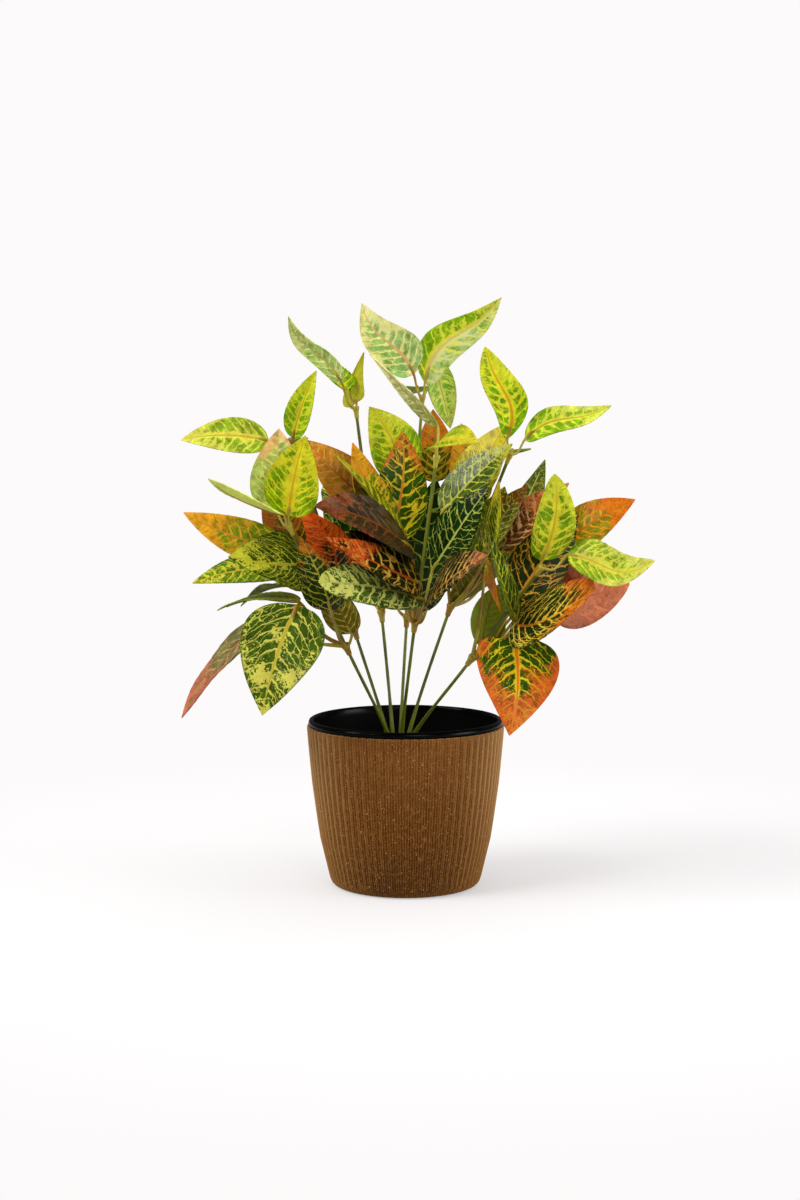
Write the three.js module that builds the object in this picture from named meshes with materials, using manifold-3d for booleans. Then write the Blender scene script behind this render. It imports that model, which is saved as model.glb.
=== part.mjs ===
// Potted artificial croton: a ribbed cover pot, a black liner pot with a rolled lip, a filler plug,
// a stalk holding seven wire stems, and two leaf whorls on each stem. Millimetres, +Z up,
// the front towards -Y, the origin at the centre of the pot's flat underside.
import * as THREE from 'three';
import { mergeVertices } from 'three/addons/utils/BufferGeometryUtils.js';
import Module from 'manifold-3d';

const wasm = await Module();
wasm.setup();

// Driving dimensions, in millimetres
const GAP = 0.3; // between pieces that touch
const potRadius = 70; // cover pot, at its rim
const potHeight = 114;
const footRadius = 47; // the flat underside
const potWall = 3;
const potFloor = 4;
const ribCount = 72;
const ribDepth = 0.5;
const linerRadius = 68.7; // outside of the rolled lip
const linerTop = 118.6;
const linerWall = 1.6;
const linerFloor = 2;
const fillerTop = 72;
const fillerBottom = 40;
const stalkRadius = 8.4;
const stalkTop = 92;
const stemX = -5; // the stalk stands a little left of the pot's axis
const stemRing = 5.4; // radius of the ring of stems in the stalk
const stemRadius = 1.4;
const stemSink = 12; // how deep the stems stand in the stalk
const stemCollar = 3; // the straight length of stem above the stalk
const stalkSink = 20; // how deep the stalk stands in the filler
const stalkTaper = 0.6;
const bladeThick = 0.8;
const roundSides = 32; // facets round the liner and the filler
const stalkSides = 16;
const wireSides = 6;
const petioleSides = 3;

const socketSizes = {
  lower: { radius: 3.1, height: 9, petiole: 1.4 },
  upper: { radius: 2.5, height: 9, petiole: 1.1 },
};

// A leaf: where its blade starts and ends, its width and the way its upper face looks.
// arch lifts its middle off the straight line, fold raises both halves from the midrib (degrees),
// sway and ess bend it sideways, twist turns it along its length (degrees), wave ripples its edges,
// ends shapes its outline at the base and the tip.
function leaf(from, to, wide, face, options) {
  const plain = { arch: 4, fold: 8, sway: 0, ess: 0, twist: 0, wave: 0, ends: [0.5, 0.95] };
  return { from, to, wide, face, ...plain, ...options };
}

const whorls = [
  { node: 'lower_leaves_1', stem: 1, kind: 'lower', at: [-40, -46, 173], leaves: [
    leaf([-72, -72, 206], [-95, -98, 135], 56, [-0.1, -0.9, 0.4],
      { arch: 7, fold: 6, wave: 1.5, ends: [0.5, 1], sway: 1.5 }),
    leaf([-95, -40, 195], [-152, -62, 128], 47, [-0.7, -0.25, 0.65], { arch: 4, fold: 5, wave: 1 }),
    leaf([-73, -34, 204], [-131, -20, 197], 48, [-0.1, 0, 1], { arch: 6, fold: 3 }),
    leaf([-37, -38, 183], [-57, -44, 225], 31, [-0.5, -0.8, -0.4], { arch: 3, sway: 3 }),
    leaf([-50, -76, 203], [-69, -98, 253], 35, [-0.4, -0.8, -0.5], { sway: 5, wave: 1 }),
  ] },
  { node: 'lower_leaves_2', stem: 2, kind: 'lower', at: [-36, 34, 175], leaves: [
    leaf([-87, 10, 237], [-156, 2, 264], 34, [0.3, -0.8, 0.6], { arch: 6, fold: 6, sway: -8 }),
    leaf([-80, -16, 226], [-147, -30, 217], 31, [0, -0.6, 0.8], { arch: 6, fold: 5, sway: -1 }),
    leaf([-69, -30, 231], [-120, -58, 237], 60, [0.4, -0.5, 0.8], { arch: 6, sway: -11, wave: 1.5 }),
    leaf([-48, -44, 224], [-72, -58, 270], 34, [-0.3, -0.8, -0.4], { fold: 10, sway: 12 }),
    leaf([-69, 44, 228], [-102, 46, 284], 42, [0.1, -1, 0.2], { arch: 4, wave: 1.5 }),
    leaf([-62, 40, 204], [-120, 50, 193], 50, [-0.5, 0.1, 1], { arch: 10, wave: 1.5 }),
  ] },
  { node: 'lower_leaves_3', stem: 3, kind: 'lower', at: [-17, 30, 188], leaves: [
    leaf([-28, 10, 274], [-70, 0, 315], 38, [0.5, -0.8, 0.4], { arch: 8, fold: 6, sway: -8 }),
    leaf([-9, -6, 245], [-37, -2, 313], 31, [0.6, -0.8, 0.2], { arch: 3, fold: 14, sway: -6 }),
    leaf([1, -14, 243], [-50, -16, 306], 38, [0.8, -0.1, 0.6], { sway: -12 }),
    leaf([-12, 16, 240], [-2, 24, 321], 40, [-0.1, -1, 0.1], { sway: 5, wave: 1 }),
    leaf([-34, 62, 224], [-62, 112, 278], 50, [-0.2, 0.5, 0.9], { arch: 7, wave: 1.5 }),
    leaf([-26, 18, 228], [-46, 20, 290], 36, [0.2, -1, 0.1], { arch: 2, fold: 6 }),
  ] },
  { node: 'lower_leaves_4', stem: 4, kind: 'lower', at: [1, 52, 182], leaves: [
    leaf([-2, 38, 287], [-26, 40, 338], 38, [0.2, -1, 0.1], { arch: 3, fold: 6, sway: 4 }),
    leaf([21, 60, 283], [20, 57, 336], 29, [0, -1, -0.1], { arch: 2, sway: 1 }),
    leaf([52, 40, 267], [40, 36, 326], 30, [0, -1, -0.1], { arch: 3, sway: -1 }),
    leaf([-12, 86, 206], [-34, 146, 214], 52, [0, 0.1, 1], { arch: 9, wave: 1.5 }),
    leaf([26, 82, 208], [62, 136, 240], 52, [0.2, 0.3, 1], { arch: 8, wave: 1.5 }),
    leaf([6, 84, 216], [10, 116, 286], 46, [0, 0.8, 0.5], { arch: 5, wave: 1 }),
    leaf([8, 38, 190], [22, 35, 288], 42, [-0.1, -1, 0.1], { arch: 3, fold: 6, wave: 1 }),
  ] },
  { node: 'lower_leaves_5', stem: 5, kind: 'lower', at: [6, -48, 189], leaves: [
    leaf([12, -72, 209], [-57, -114, 225], 34, [0.5, -0.6, 0.6],
      { arch: 5, fold: 4, wave: 1, ends: [0.62, 0.55] }),
    leaf([4, -56, 242], [-60, -106, 274], 55, [0.6, -0.3, 0.7], { arch: 6, fold: 5, sway: 2 }),
    leaf([10, -62, 219], [-53, -112, 254], 35, [0.7, -0.5, 0.6], { arch: 7, fold: 10, sway: -9 }),
    leaf([0, -64, 214], [-38, -87, 257], 38, [0.7, -0.7, 0.3], { fold: 6, sway: -1 }),
    leaf([18, -44, 226], [56, -66, 285], 39, [-0.7, -0.7, 0.2], { sway: 2, wave: 1 }),
    leaf([16, -62, 208], [53, -112, 242], 46, [-0.8, -0.2, 0.6], { sway: 2 }),
  ] },
  { node: 'lower_leaves_6', stem: 6, kind: 'lower', at: [31, 4, 195], leaves: [
    leaf([25, -26, 265], [73, -34, 313], 35, [-0.6, -0.7, 0.4], { arch: 5, fold: 6, sway: 2 }),
    leaf([40, 6, 273], [70, 6, 326], 41, [-0.6, -0.7, 0.3], { sway: 4 }),
    leaf([58, -50, 244], [63, -56, 288], 41, [-1, -0.2, 0.1], { arch: 2, sway: 16 }),
    leaf([55, -26, 241], [83, -30, 284], 30, [-0.7, -0.6, 0.4], { arch: 2 }),
    leaf([63, -26, 240], [112, -30, 286], 34, [-0.5, -0.7, 0.5], { arch: 3, fold: 22, sway: 4 }),
    leaf([35, -2, 201], [58, -40, 235], 29, [-0.3, 0.5, 0.8], { arch: 3, sway: -10 }),
    leaf([62, 26, 220], [120, 60, 246], 50, [0.1, 0.2, 1], { arch: 8, wave: 1.5 }),
    leaf([62, 34, 230], [103, 78, 299], 30, [0.5, 0.6, 0.7], { arch: 6, wave: 1 }),
    leaf([31, 21, 209], [48, 19, 276], 38, [-0.2, -1, 0.1], { arch: 2, fold: 6 }),
    leaf([52, 9, 221], [70, 10, 282], 36, [-0.3, -1, 0.1], { arch: 2, fold: 5 }),
  ] },
  { node: 'lower_leaves_7', stem: 7, kind: 'lower', at: [44, -52, 166], leaves: [
    leaf([72, -78, 185], [68, -108, 123], 56, [0.1, -0.9, 0.4],
      { arch: 5, fold: 5, sway: -3.5, wave: 1, ends: [0.36, 1] }),
    leaf([72, -76, 195], [123, -116, 221], 58, [-0.6, -0.3, 0.7], { arch: 5, sway: 22, ends: [0.6, 0.55] }),
    leaf([95, -50, 211], [150, -72, 220], 49, [-0.4, -0.8, 0.5],
      { arch: 6, fold: 5, sway: 8, ends: [0.5, 0.7] }),
    leaf([74, -60, 207], [116, -61, 266], 42, [-0.4, -0.9, 0.3], { arch: 3, fold: 6, wave: 1 }),
    leaf([106, -30, 241], [157, -36, 275], 37, [-0.5, -0.7, 0.5], { arch: 5, fold: 5, sway: 0.5 }),
    leaf([73, -92, 197], [54, -99, 256], 40, [0.9, -0.3, 0.3], { arch: 3, sway: -14 }),
    leaf([52, -50, 174], [65, -54, 219], 38, [0.75, 0.6, -0.2], { arch: 2, sway: 7 }),
    leaf([54, -68, 231], [63, -88, 203], 26, [-1, -0.2, -0.2], { arch: 2, sway: -15 }),
    leaf([88, -30, 186], [132, 22, 192], 46, [0.2, 0.1, 1], { arch: 8, wave: 1.5 }),
  ] },
  { node: 'upper_leaves_1', stem: 1, kind: 'upper', at: [-76, -92, 258], leaves: [
    leaf([-77, -98, 267], [-65, -112, 320], 37, [-0.2, -1, -0.2], { arch: 3, sway: -1 }),
    leaf([-84, -88, 268], [-84, -80, 324], 37, [-0.2, -1, 0.1], { arch: 3, fold: 6 }),
    leaf([-80, -100, 268], [-128, -112, 292], 20, [0.5, 0.2, 0.9],
      { arch: -3, fold: 12, ess: -3, twist: 50 }),
  ] },
  { node: 'upper_leaves_2', stem: 2, kind: 'upper', at: [-79, 14, 312], leaves: [
    leaf([-96, 8, 314], [-157, 0, 315], 28, [0.1, -0.9, 0.5], { fold: 5, sway: 2 }),
    leaf([-79, 6, 316], [-62, -6, 363], 21, [-0.5, -0.9, -0.1], { arch: 3, fold: 14 }),
    leaf([-82, 22, 315], [-84, 68, 311], 26, [0, 0.1, 1], { arch: 1, fold: 4 }),
  ] },
  { node: 'upper_leaves_3', stem: 3, kind: 'upper', at: [-35, 26, 334], leaves: [
    leaf([-45, 22, 355], [-82, 10, 401], 19, [-0.4, -0.7, -0.5], { arch: -3, sway: -5, ess: 3.5 }),
    leaf([-35, 34, 341], [-30, 56, 377], 28, [0.8, 0.4, -0.4], { arch: 3, fold: 10, sway: 17 }),
    leaf([-44, 36, 350], [-70, 74, 376], 32, [-0.3, 0.6, 0.8], {}),
  ] },
  { node: 'upper_leaves_4', stem: 4, kind: 'upper', at: [12, 46, 342], leaves: [
    leaf([6, 42, 361], [-31, 30, 411], 33, [0.3, -1, 0], { arch: 3, fold: 5, sway: -2.5, ess: 3 }),
    leaf([14, 42, 355], [68, 30, 415], 29, [-0.2, -1, 0],
      { arch: -3, fold: 12, sway: -6, ess: -4, ends: [0.5, 1] }),
    leaf([20, 54, 371], [33, 70, 322], 23, [0.5, -0.9, -0.1], { arch: 5, sway: 2 }),
    leaf([9, 60, 352], [4, 110, 347], 30, [0, 0.1, 1], { arch: 1, fold: 4 }),
  ] },
  { node: 'upper_leaves_5', stem: 5, kind: 'upper', at: [20, -74, 302], leaves: [
    leaf([21, -72, 326], [-24, -60, 373], 19, [-0.7, -0.4, -0.6], { arch: 3, sway: 7, ends: [0.5, 1.4] }),
    leaf([20, -80, 313], [47, -112, 315], 31, [-0.4, -0.3, 0.9], { arch: 5, sway: 2 }),
  ] },
  { node: 'upper_leaves_6', stem: 6, kind: 'upper', at: [71, -22, 303], leaves: [
    leaf([70, -22, 316], [54, -30, 379], 26, [0.2, -1, -0.1],
      { arch: 3, fold: 12, sway: 5, ess: 3, ends: [0.7, 0.85] }),
    leaf([82, -26, 316], [140, -36, 339], 22, [-0.3, -0.8, 0.5], { arch: -3, fold: 10, sway: -5, ess: -3 }),
    leaf([74, -8, 308], [78, 42, 304], 26, [0, 0.1, 1], { arch: 1, fold: 4 }),
  ] },
  { node: 'upper_leaves_7', stem: 7, kind: 'upper', at: [88, -96, 231], leaves: [
    leaf([89, -98, 238], [97, -104, 295], 28, [0.1, -1, -0.1], { fold: 14, sway: 4, ends: [0.45, 0.7] }),
    leaf([106, -102, 242], [161, -118, 239], 33, [-0.2, -0.7, 0.7],
      { fold: 10, sway: 12, ess: -4, ends: [0.55, 0.8] }),
  ] },
];

const colours = {
  cover: { color: 0x6e4320, roughness: 0.75, metalness: 0 },
  liner: { color: 0x0c0c0d, roughness: 0.35, metalness: 0 },
  filler: { color: 0x15120e, roughness: 0.95, metalness: 0 },
  stem: { color: 0x4d5a1c, roughness: 0.55, metalness: 0 },
  lower: { color: 0x3f5a1a, roughness: 0.35, metalness: 0 },
  upper: { color: 0x93ad1f, roughness: 0.35, metalness: 0 },
};

const vec = (point) => new THREE.Vector3(...point);

// A closed geometry as a solid for the boolean library
function solidOf(geometry) {
  const bare = geometry.clone();
  bare.deleteAttribute('normal');
  bare.deleteAttribute('uv');
  const merged = mergeVertices(bare, 1e-4);
  return new wasm.Manifold(new wasm.Mesh({
    numProp: 3,
    vertProperties: new Float32Array(merged.attributes.position.array),
    triVerts: new Uint32Array(merged.index.array),
  }));
}

function geometryOf(solid) {
  const mesh = solid.getMesh();
  const geometry = new THREE.BufferGeometry();
  geometry.setAttribute('position', new THREE.BufferAttribute(new Float32Array(mesh.vertProperties), 3));
  geometry.setIndex(new THREE.BufferAttribute(new Uint32Array(mesh.triVerts), 1));
  geometry.computeVertexNormals();
  return geometry;
}

// A body turned about Z from a closed profile of [radius, height] points
function turned(profile, segments) {
  const points = profile.map(([radius, height]) => new THREE.Vector2(radius, height));
  const geometry = new THREE.LatheGeometry(points, segments);
  geometry.rotateX(Math.PI / 2);
  return geometry;
}

// A round bar along a smooth path through the given points
function bar(points, radius, sides, steps) {
  const section = new THREE.Shape();
  for (let side = 0; side < sides; side += 1) {
    const angle = (2 * Math.PI * side) / sides;
    const corner = [radius * Math.cos(angle), radius * Math.sin(angle)];
    if (side === 0) section.moveTo(...corner);
    else section.lineTo(...corner);
  }
  section.closePath();
  const path = new THREE.CatmullRomCurve3(points, false, 'centripetal');
  return new THREE.ExtrudeGeometry(section, { steps, bevelEnabled: false, extrudePath: path });
}

// ---- Leaf blades ----

const rowCount = 6; // stretches along a blade
const rowEnd = { base: 0.9, tip: 0.35 }; // least half width at either end
const rippleTurn = 9.4; // radians of edge ripple from base to tip
const rippleLag = 1.7; // how far one edge's ripple runs behind the other's
const twistFrom = 0.35; // the share of the length where a twisted blade lies as its face says

function outline(t, [a, b]) {
  const widest = a / (a + b);
  return (t ** a * (1 - t) ** b) / (widest ** a * (1 - widest) ** b);
}

// The blade's midrib point and its two cross directions at t, from 0 at the base to 1 at the tip
function station(shape, t) {
  const along = vec(shape.to).sub(vec(shape.from));
  const axis = along.clone().normalize();
  const up = vec(shape.face);
  up.addScaledVector(axis, -up.dot(axis)).normalize();
  const side = new THREE.Vector3().crossVectors(axis, up);
  const hump = 4 * t * (1 - t);
  const centre = vec(shape.from).addScaledVector(along, t).addScaledVector(up, shape.arch * hump);
  centre.addScaledVector(side, shape.sway * hump + shape.ess * Math.sin(2 * Math.PI * t));
  const turn = THREE.MathUtils.degToRad(shape.twist) * (t - twistFrom);
  side.applyAxisAngle(axis, turn);
  up.applyAxisAngle(axis, turn);
  return { centre, side, up };
}

function bladePoint(shape, t, across) {
  const { centre, side, up } = station(shape, t);
  const inside = Math.min(Math.max(t, 1e-6), 1 - 1e-6);
  const least = t < 0.5 ? rowEnd.base : rowEnd.tip;
  const half = Math.max((shape.wide / 2) * outline(inside, shape.ends), least);
  const fold = THREE.MathUtils.degToRad(shape.fold);
  const phase = across > 0 ? 0 : rippleLag;
  const ripple = shape.wave * across ** 2 * Math.sin(rippleTurn * t + phase) * 4 * t * (1 - t);
  centre.addScaledVector(side, across * half * Math.cos(fold));
  centre.addScaledVector(up, Math.abs(across) * half * Math.sin(fold) + ripple);
  return { point: centre, up };
}

// A blade is two like faces of rows and columns, joined round its edge
function blade(shape) {
  const columns = [-1, 0, 1];
  const positions = [];
  for (const face of [0.5, -0.5]) {
    for (let row = 0; row <= rowCount; row += 1) {
      for (const across of columns) {
        const { point, up } = bladePoint(shape, row / rowCount, across);
        point.addScaledVector(up, face * bladeThick);
        positions.push(point.x, point.y, point.z);
      }
    }
  }
  const wide = columns.length;
  const under = (rowCount + 1) * wide;
  const at = (row, column) => row * wide + column;
  const index = [];
  for (let row = 0; row < rowCount; row += 1) {
    for (let column = 0; column < wide - 1; column += 1) {
      const [a, b] = [at(row, column), at(row, column + 1)];
      const [d, c] = [at(row + 1, column), at(row + 1, column + 1)];
      index.push(a, b, c, a, c, d);
      index.push(a + under, c + under, b + under, a + under, d + under, c + under);
    }
  }
  const edge = [];
  for (let column = 0; column < wide; column += 1) edge.push(at(0, column));
  for (let row = 1; row <= rowCount; row += 1) edge.push(at(row, wide - 1));
  for (let column = wide - 2; column >= 0; column -= 1) edge.push(at(rowCount, column));
  for (let row = rowCount - 1; row > 0; row -= 1) edge.push(at(row, 0));
  edge.forEach((here, place) => {
    const next = edge[(place + 1) % edge.length];
    index.push(here, here + under, next + under, here, next + under, next);
  });
  const geometry = new THREE.BufferGeometry();
  geometry.setAttribute('position', new THREE.Float32BufferAttribute(positions, 3));
  geometry.setIndex(index);
  return geometry;
}

// ---- Stems ----

const stemSteps = 8;
const stemPaths = new Map();
const lowerWhorls = whorls.filter((whorl) => whorl.kind === 'lower');
const upperWhorls = whorls.filter((whorl) => whorl.kind === 'upper');

// The stems stand round the ring in the order in which their lower whorls lie round the stalk
const around = (whorl) => Math.atan2(whorl.at[1], whorl.at[0] - stemX);
const ringOrder = [...lowerWhorls].sort((a, b) => around(a) - around(b));
const ringStart = around(ringOrder[0]);
ringOrder.forEach((whorl, place) => {
  const angle = ringStart + (2 * Math.PI * place) / ringOrder.length;
  const foot = vec([stemX, 0, stalkTop - stemSink]);
  foot.x += stemRing * Math.cos(angle);
  foot.y += stemRing * Math.sin(angle);
  const collar = foot.clone().setZ(stalkTop + stemCollar);
  const upper = upperWhorls.find((other) => other.stem === whorl.stem);
  stemPaths.set(whorl.stem, [foot, collar, vec(whorl.at), vec(upper.at)]);
});

// The wire itself, or with a clearance the hole that it stands in, which is longer and wider
function stemSolid(stem, clearance) {
  const points = stemPaths.get(stem).map((point) => point.clone());
  const last = points.length - 1;
  const heading = points[last].clone().sub(points[last - 1]).normalize();
  points[0].z -= clearance;
  points[last].addScaledVector(heading, clearance);
  return solidOf(bar(points, stemRadius + clearance, wireSides, stemSteps));
}

// ---- Whorls: a moulded socket on the stem, its petioles and their blades, one body ----

const socketTaper = 0.8; // a socket's foot against its top
const petioleSteps = 3;
const petioleSag = 0.26; // how far a petiole hangs under its straight line, against its reach
const petioleSagMost = 6; // and never hangs lower than this
const petioleLow = 0.45; // and the share of the way out where it hangs lowest
const petioleSeat = 0.3; // where it leaves the socket, over the middle, against the socket's height
const petioleRoot = 0.1; // the share of the blade's length that it reaches under

// The way a stem runs where it passes or ends in a whorl's socket
function stemHeading(whorl) {
  const [, collar, lower, upper] = stemPaths.get(whorl.stem);
  const before = whorl.kind === 'upper' ? lower : collar;
  return upper.clone().sub(before).normalize();
}

function socketSolid(whorl) {
  const { radius, height } = socketSizes[whorl.kind];
  const heading = stemHeading(whorl);
  const geometry = new THREE.CylinderGeometry(radius, radius * socketTaper, height, wireSides);
  geometry.applyQuaternion(new THREE.Quaternion().setFromUnitVectors(new THREE.Vector3(0, 1, 0), heading));
  const middle = vec(whorl.at);
  geometry.translate(middle.x, middle.y, middle.z);
  return solidOf(geometry);
}

function petioleSolid(whorl, shape) {
  const size = socketSizes[whorl.kind];
  const start = vec(whorl.at).addScaledVector(stemHeading(whorl), size.height * petioleSeat);
  const end = vec(shape.from);
  const reach = end.distanceTo(start);
  const out = start.clone().lerp(end, petioleLow);
  out.z -= Math.min(petioleSag * reach, petioleSagMost);
  const inBlade = station(shape, petioleRoot).centre;
  return solidOf(bar([start, out, end, inBlade], size.petiole, petioleSides, petioleSteps));
}

function whorlSolid(whorl) {
  let body = socketSolid(whorl);
  for (const shape of whorl.leaves) {
    body = body.add(petioleSolid(whorl, shape)).add(solidOf(blade(shape)));
  }
  return body.subtract(stemSolid(whorl.stem, GAP));
}

// ---- Pots ----

const footBand = 5; // the plain band at the foot, under the ribs
const rimBand = 3; // and the plain band at the rim, above them

// Outside of the cover pot: a rounded foot, then a wall that leans out and straightens
const coverProfile = [
  [0, 0],
  [footRadius, 0],
  [51.8, 1.6],
  [54.2, 7],
  [60.6, 34],
  [66.2, 72],
  [69.7, potHeight - rimBand],
  [potRadius - 0.4, potHeight],
  [0, potHeight],
];

function coverPot() {
  const geometry = turned(coverProfile, ribCount * 2);
  const spots = geometry.attributes.position;
  for (let index = 0; index < spots.count; index += 1) {
    const column = Math.floor(index / coverProfile.length);
    const height = spots.getZ(index);
    const ribbed = height > footBand && height < potHeight - rimBand / 2;
    if (column % 2 === 1 && ribbed) {
      const radius = Math.hypot(spots.getX(index), spots.getY(index));
      const shrink = (radius - ribDepth) / radius;
      spots.setXY(index, spots.getX(index) * shrink, spots.getY(index) * shrink);
    }
  }
  const inside = coverProfile.slice(3, -2).map(([radius, height]) => [radius - potWall, height]);
  const cavity = [
    [0, potFloor],
    [inside[0][0] - 3, potFloor],
    ...inside,
    [potRadius - potWall, potHeight + 1],
    [0, potHeight + 1],
  ];
  return solidOf(geometry).subtract(solidOf(turned(cavity, roundSides)));
}

// Outside of the liner's wall, clear of the cover pot's
const linerWallLine = [
  [footRadius - 1, potFloor + GAP],
  [56.6, 34],
  [62.4, 72],
  [potRadius - potWall - 1, potHeight - 3],
];

// The liner hangs in the cover pot by a rolled lip that rests on the rim
const linerProfile = (() => {
  const lipUnder = potHeight + GAP;
  const inner = linerWallLine.map(([radius, height]) => [radius - linerWall, height]).reverse();
  const lip = [
    [potRadius - potWall - 1, lipUnder],
    [linerRadius - 0.3, lipUnder],
    [linerRadius, lipUnder + 1.5],
    [linerRadius - 0.7, linerTop - 0.6],
    [linerRadius - 2, linerTop],
    [linerRadius - 3.6, linerTop - 0.7],
  ];
  inner[inner.length - 1][1] += linerFloor;
  return [[0, potFloor + GAP], ...linerWallLine, ...lip, ...inner, [0, potFloor + GAP + linerFloor]];
})();

function linerInside(height) {
  const above = linerWallLine.findIndex((point) => point[1] > height);
  const [[r0, h0], [r1, h1]] = [linerWallLine[above - 1], linerWallLine[above]];
  return r0 + ((r1 - r0) * (height - h0)) / (h1 - h0) - linerWall;
}

function fillerSolid() {
  const profile = [
    [0, fillerBottom],
    [linerInside(fillerBottom) - GAP, fillerBottom],
    [linerInside(fillerTop) - GAP, fillerTop],
    [0, fillerTop],
  ];
  const depth = stalkSink * 2;
  const hole = new THREE.CylinderGeometry(stalkRadius + GAP, stalkRadius + GAP, depth, stalkSides);
  hole.rotateX(Math.PI / 2);
  hole.translate(stemX, 0, fillerTop - stalkSink + depth / 2);
  return solidOf(turned(profile, roundSides)).subtract(solidOf(hole));
}

function stalkSolid() {
  const bottom = fillerTop - stalkSink + GAP;
  const height = stalkTop - bottom;
  const geometry = new THREE.CylinderGeometry(stalkRadius - stalkTaper, stalkRadius, height, stalkSides);
  geometry.rotateX(Math.PI / 2);
  geometry.translate(stemX, 0, bottom + height / 2);
  let body = solidOf(geometry);
  for (const stem of stemPaths.keys()) body = body.subtract(stemSolid(stem, GAP));
  return body;
}

// ---- The assembly ----

const group = new THREE.Group();

function place(name, solid, look) {
  const mesh = new THREE.Mesh(geometryOf(solid), new THREE.MeshStandardMaterial(look));
  mesh.name = name;
  group.add(mesh);
}

place('cover_pot', coverPot(), colours.cover);
place('liner_pot', solidOf(turned(linerProfile, roundSides)), colours.liner);
place('filler', fillerSolid(), colours.filler);
place('stalk', stalkSolid(), colours.stem);
for (const stem of [...stemPaths.keys()].sort()) place(`stem_${stem}`, stemSolid(stem, 0), colours.stem);
for (const whorl of whorls) place(whorl.node, whorlSolid(whorl), colours[whorl.kind]);

export default group;
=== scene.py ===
import math

import bmesh
import bpy
from mathutils import Matrix, Vector


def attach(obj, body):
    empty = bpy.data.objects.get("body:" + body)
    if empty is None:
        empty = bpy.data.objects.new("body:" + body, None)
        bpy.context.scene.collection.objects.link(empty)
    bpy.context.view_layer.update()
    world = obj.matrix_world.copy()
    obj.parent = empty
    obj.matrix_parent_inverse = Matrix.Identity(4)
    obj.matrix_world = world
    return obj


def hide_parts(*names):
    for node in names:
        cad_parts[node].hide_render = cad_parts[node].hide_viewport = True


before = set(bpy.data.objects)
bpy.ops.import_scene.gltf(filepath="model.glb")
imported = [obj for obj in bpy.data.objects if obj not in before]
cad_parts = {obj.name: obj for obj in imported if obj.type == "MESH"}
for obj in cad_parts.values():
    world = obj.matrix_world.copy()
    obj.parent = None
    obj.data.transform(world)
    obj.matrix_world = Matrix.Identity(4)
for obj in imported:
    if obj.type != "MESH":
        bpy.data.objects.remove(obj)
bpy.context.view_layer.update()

# ---------------------------------------------------------------------------------------------
# Cover pot: one shell moulded in a brown plant-fibre composite. Seventy-two upright ribs run
# from a plain band at the foot to one at the rim; the mould leaves fine streaks between them.
# ---------------------------------------------------------------------------------------------
MM = 0.001
SHARP = math.radians(55)
POT_RIBS = 72
POT_RIB_SIDES = 8
POT_RIB_DEPTH = 0.5
POT_RIB_ROUND = 1.6  # over 1, the ribs are broad and the grooves between them narrow
POT_RIB_FOOT, POT_FOOT_FADE = 3.2, 3.5
POT_RIB_HEAD, POT_HEAD_FADE = 112.6, 2.2
POT_OUTSIDE = [
    (46.2, 0.0), (47.6, 0.15), (49.6, 0.7), (51.2, 1.5), (52.5, 2.8), (53.3, 4.3), (54.0, 6.4),
    (55.1, 11.0), (56.9, 18.5), (58.8, 26.5), (60.6, 34.0), (62.3, 45.0), (63.8, 55.5),
    (65.1, 65.0), (66.2, 73.0), (67.3, 84.0), (68.3, 94.5), (69.1, 103.5), (69.5, 108.5),
    (69.7, 110.8), (69.75, 111.6), (69.7, 113.2), (69.4, 113.8), (68.8, 114.0),
]
POT_INSIDE = [
    (67.6, 114.0), (67.1, 113.7), (66.9, 112.8), (63.2, 72.0), (57.6, 34.0), (51.0, 7.0),
    (46.0, 4.0),
]


def paint(code, alpha=1.0):
    """A screen colour such as '8a5a2c' as the linear colour that a shader takes."""
    parts = [int(code[place:place + 2], 16) / 255 for place in (0, 2, 4)]
    linear = [
        part / 12.92 if part <= 0.04045 else ((part + 0.055) / 1.055) ** 2.4 for part in parts
    ]
    return (*linear, alpha)


def turned(outline, steps):
    """A bmesh turned about Z from (radius, height) points in millimetres, poles closed."""
    bm = bmesh.new()
    points = [bm.verts.new((radius * MM, 0, height * MM)) for radius, height in outline]
    edges = [bm.edges.new(pair) for pair in zip(points, points[1:])]
    bmesh.ops.spin(
        bm, geom=points + edges, cent=(0, 0, 0), axis=(0, 0, 1), angle=2 * math.pi,
        steps=steps, use_merge=True,
    )
    bmesh.ops.remove_doubles(bm, verts=bm.verts, dist=1e-6)
    bmesh.ops.recalc_face_normals(bm, faces=bm.faces)
    return bm


def piece(name, bm, *materials):
    """The finished bmesh as a smooth-shaded object that rides on the part's one body."""
    mesh = bpy.data.meshes.new(name)
    for face in bm.faces:
        face.smooth = True
    for edge in bm.edges:
        edge.smooth = edge.calc_face_angle(0) < SHARP
    bm.to_mesh(mesh)
    bm.free()
    for material in materials:
        mesh.materials.append(material)
    body = bpy.data.objects.new(name, mesh)
    bpy.context.scene.collection.objects.link(body)
    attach(body, "root")
    return body


class Value:
    """The output of a shader's node; plain arithmetic on it adds the nodes that do it."""

    def __init__(self, shader, socket):
        self.shader = shader
        self.socket = socket

    def __add__(self, other):
        return self.shader.calc("ADD", self, other)

    def __mul__(self, other):
        return self.shader.calc("MULTIPLY", self, other)

    def __sub__(self, other):
        return self.shader.calc("SUBTRACT", self, other)

    def __rsub__(self, other):
        return self.shader.calc("SUBTRACT", other, self)

    def __truediv__(self, other):
        return self.shader.calc("DIVIDE", self, other)

    def __pow__(self, other):
        return self.shader.calc("POWER", self, other)

    def __abs__(self):
        return self.shader.calc("ABSOLUTE", self)

    __radd__ = __add__


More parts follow.
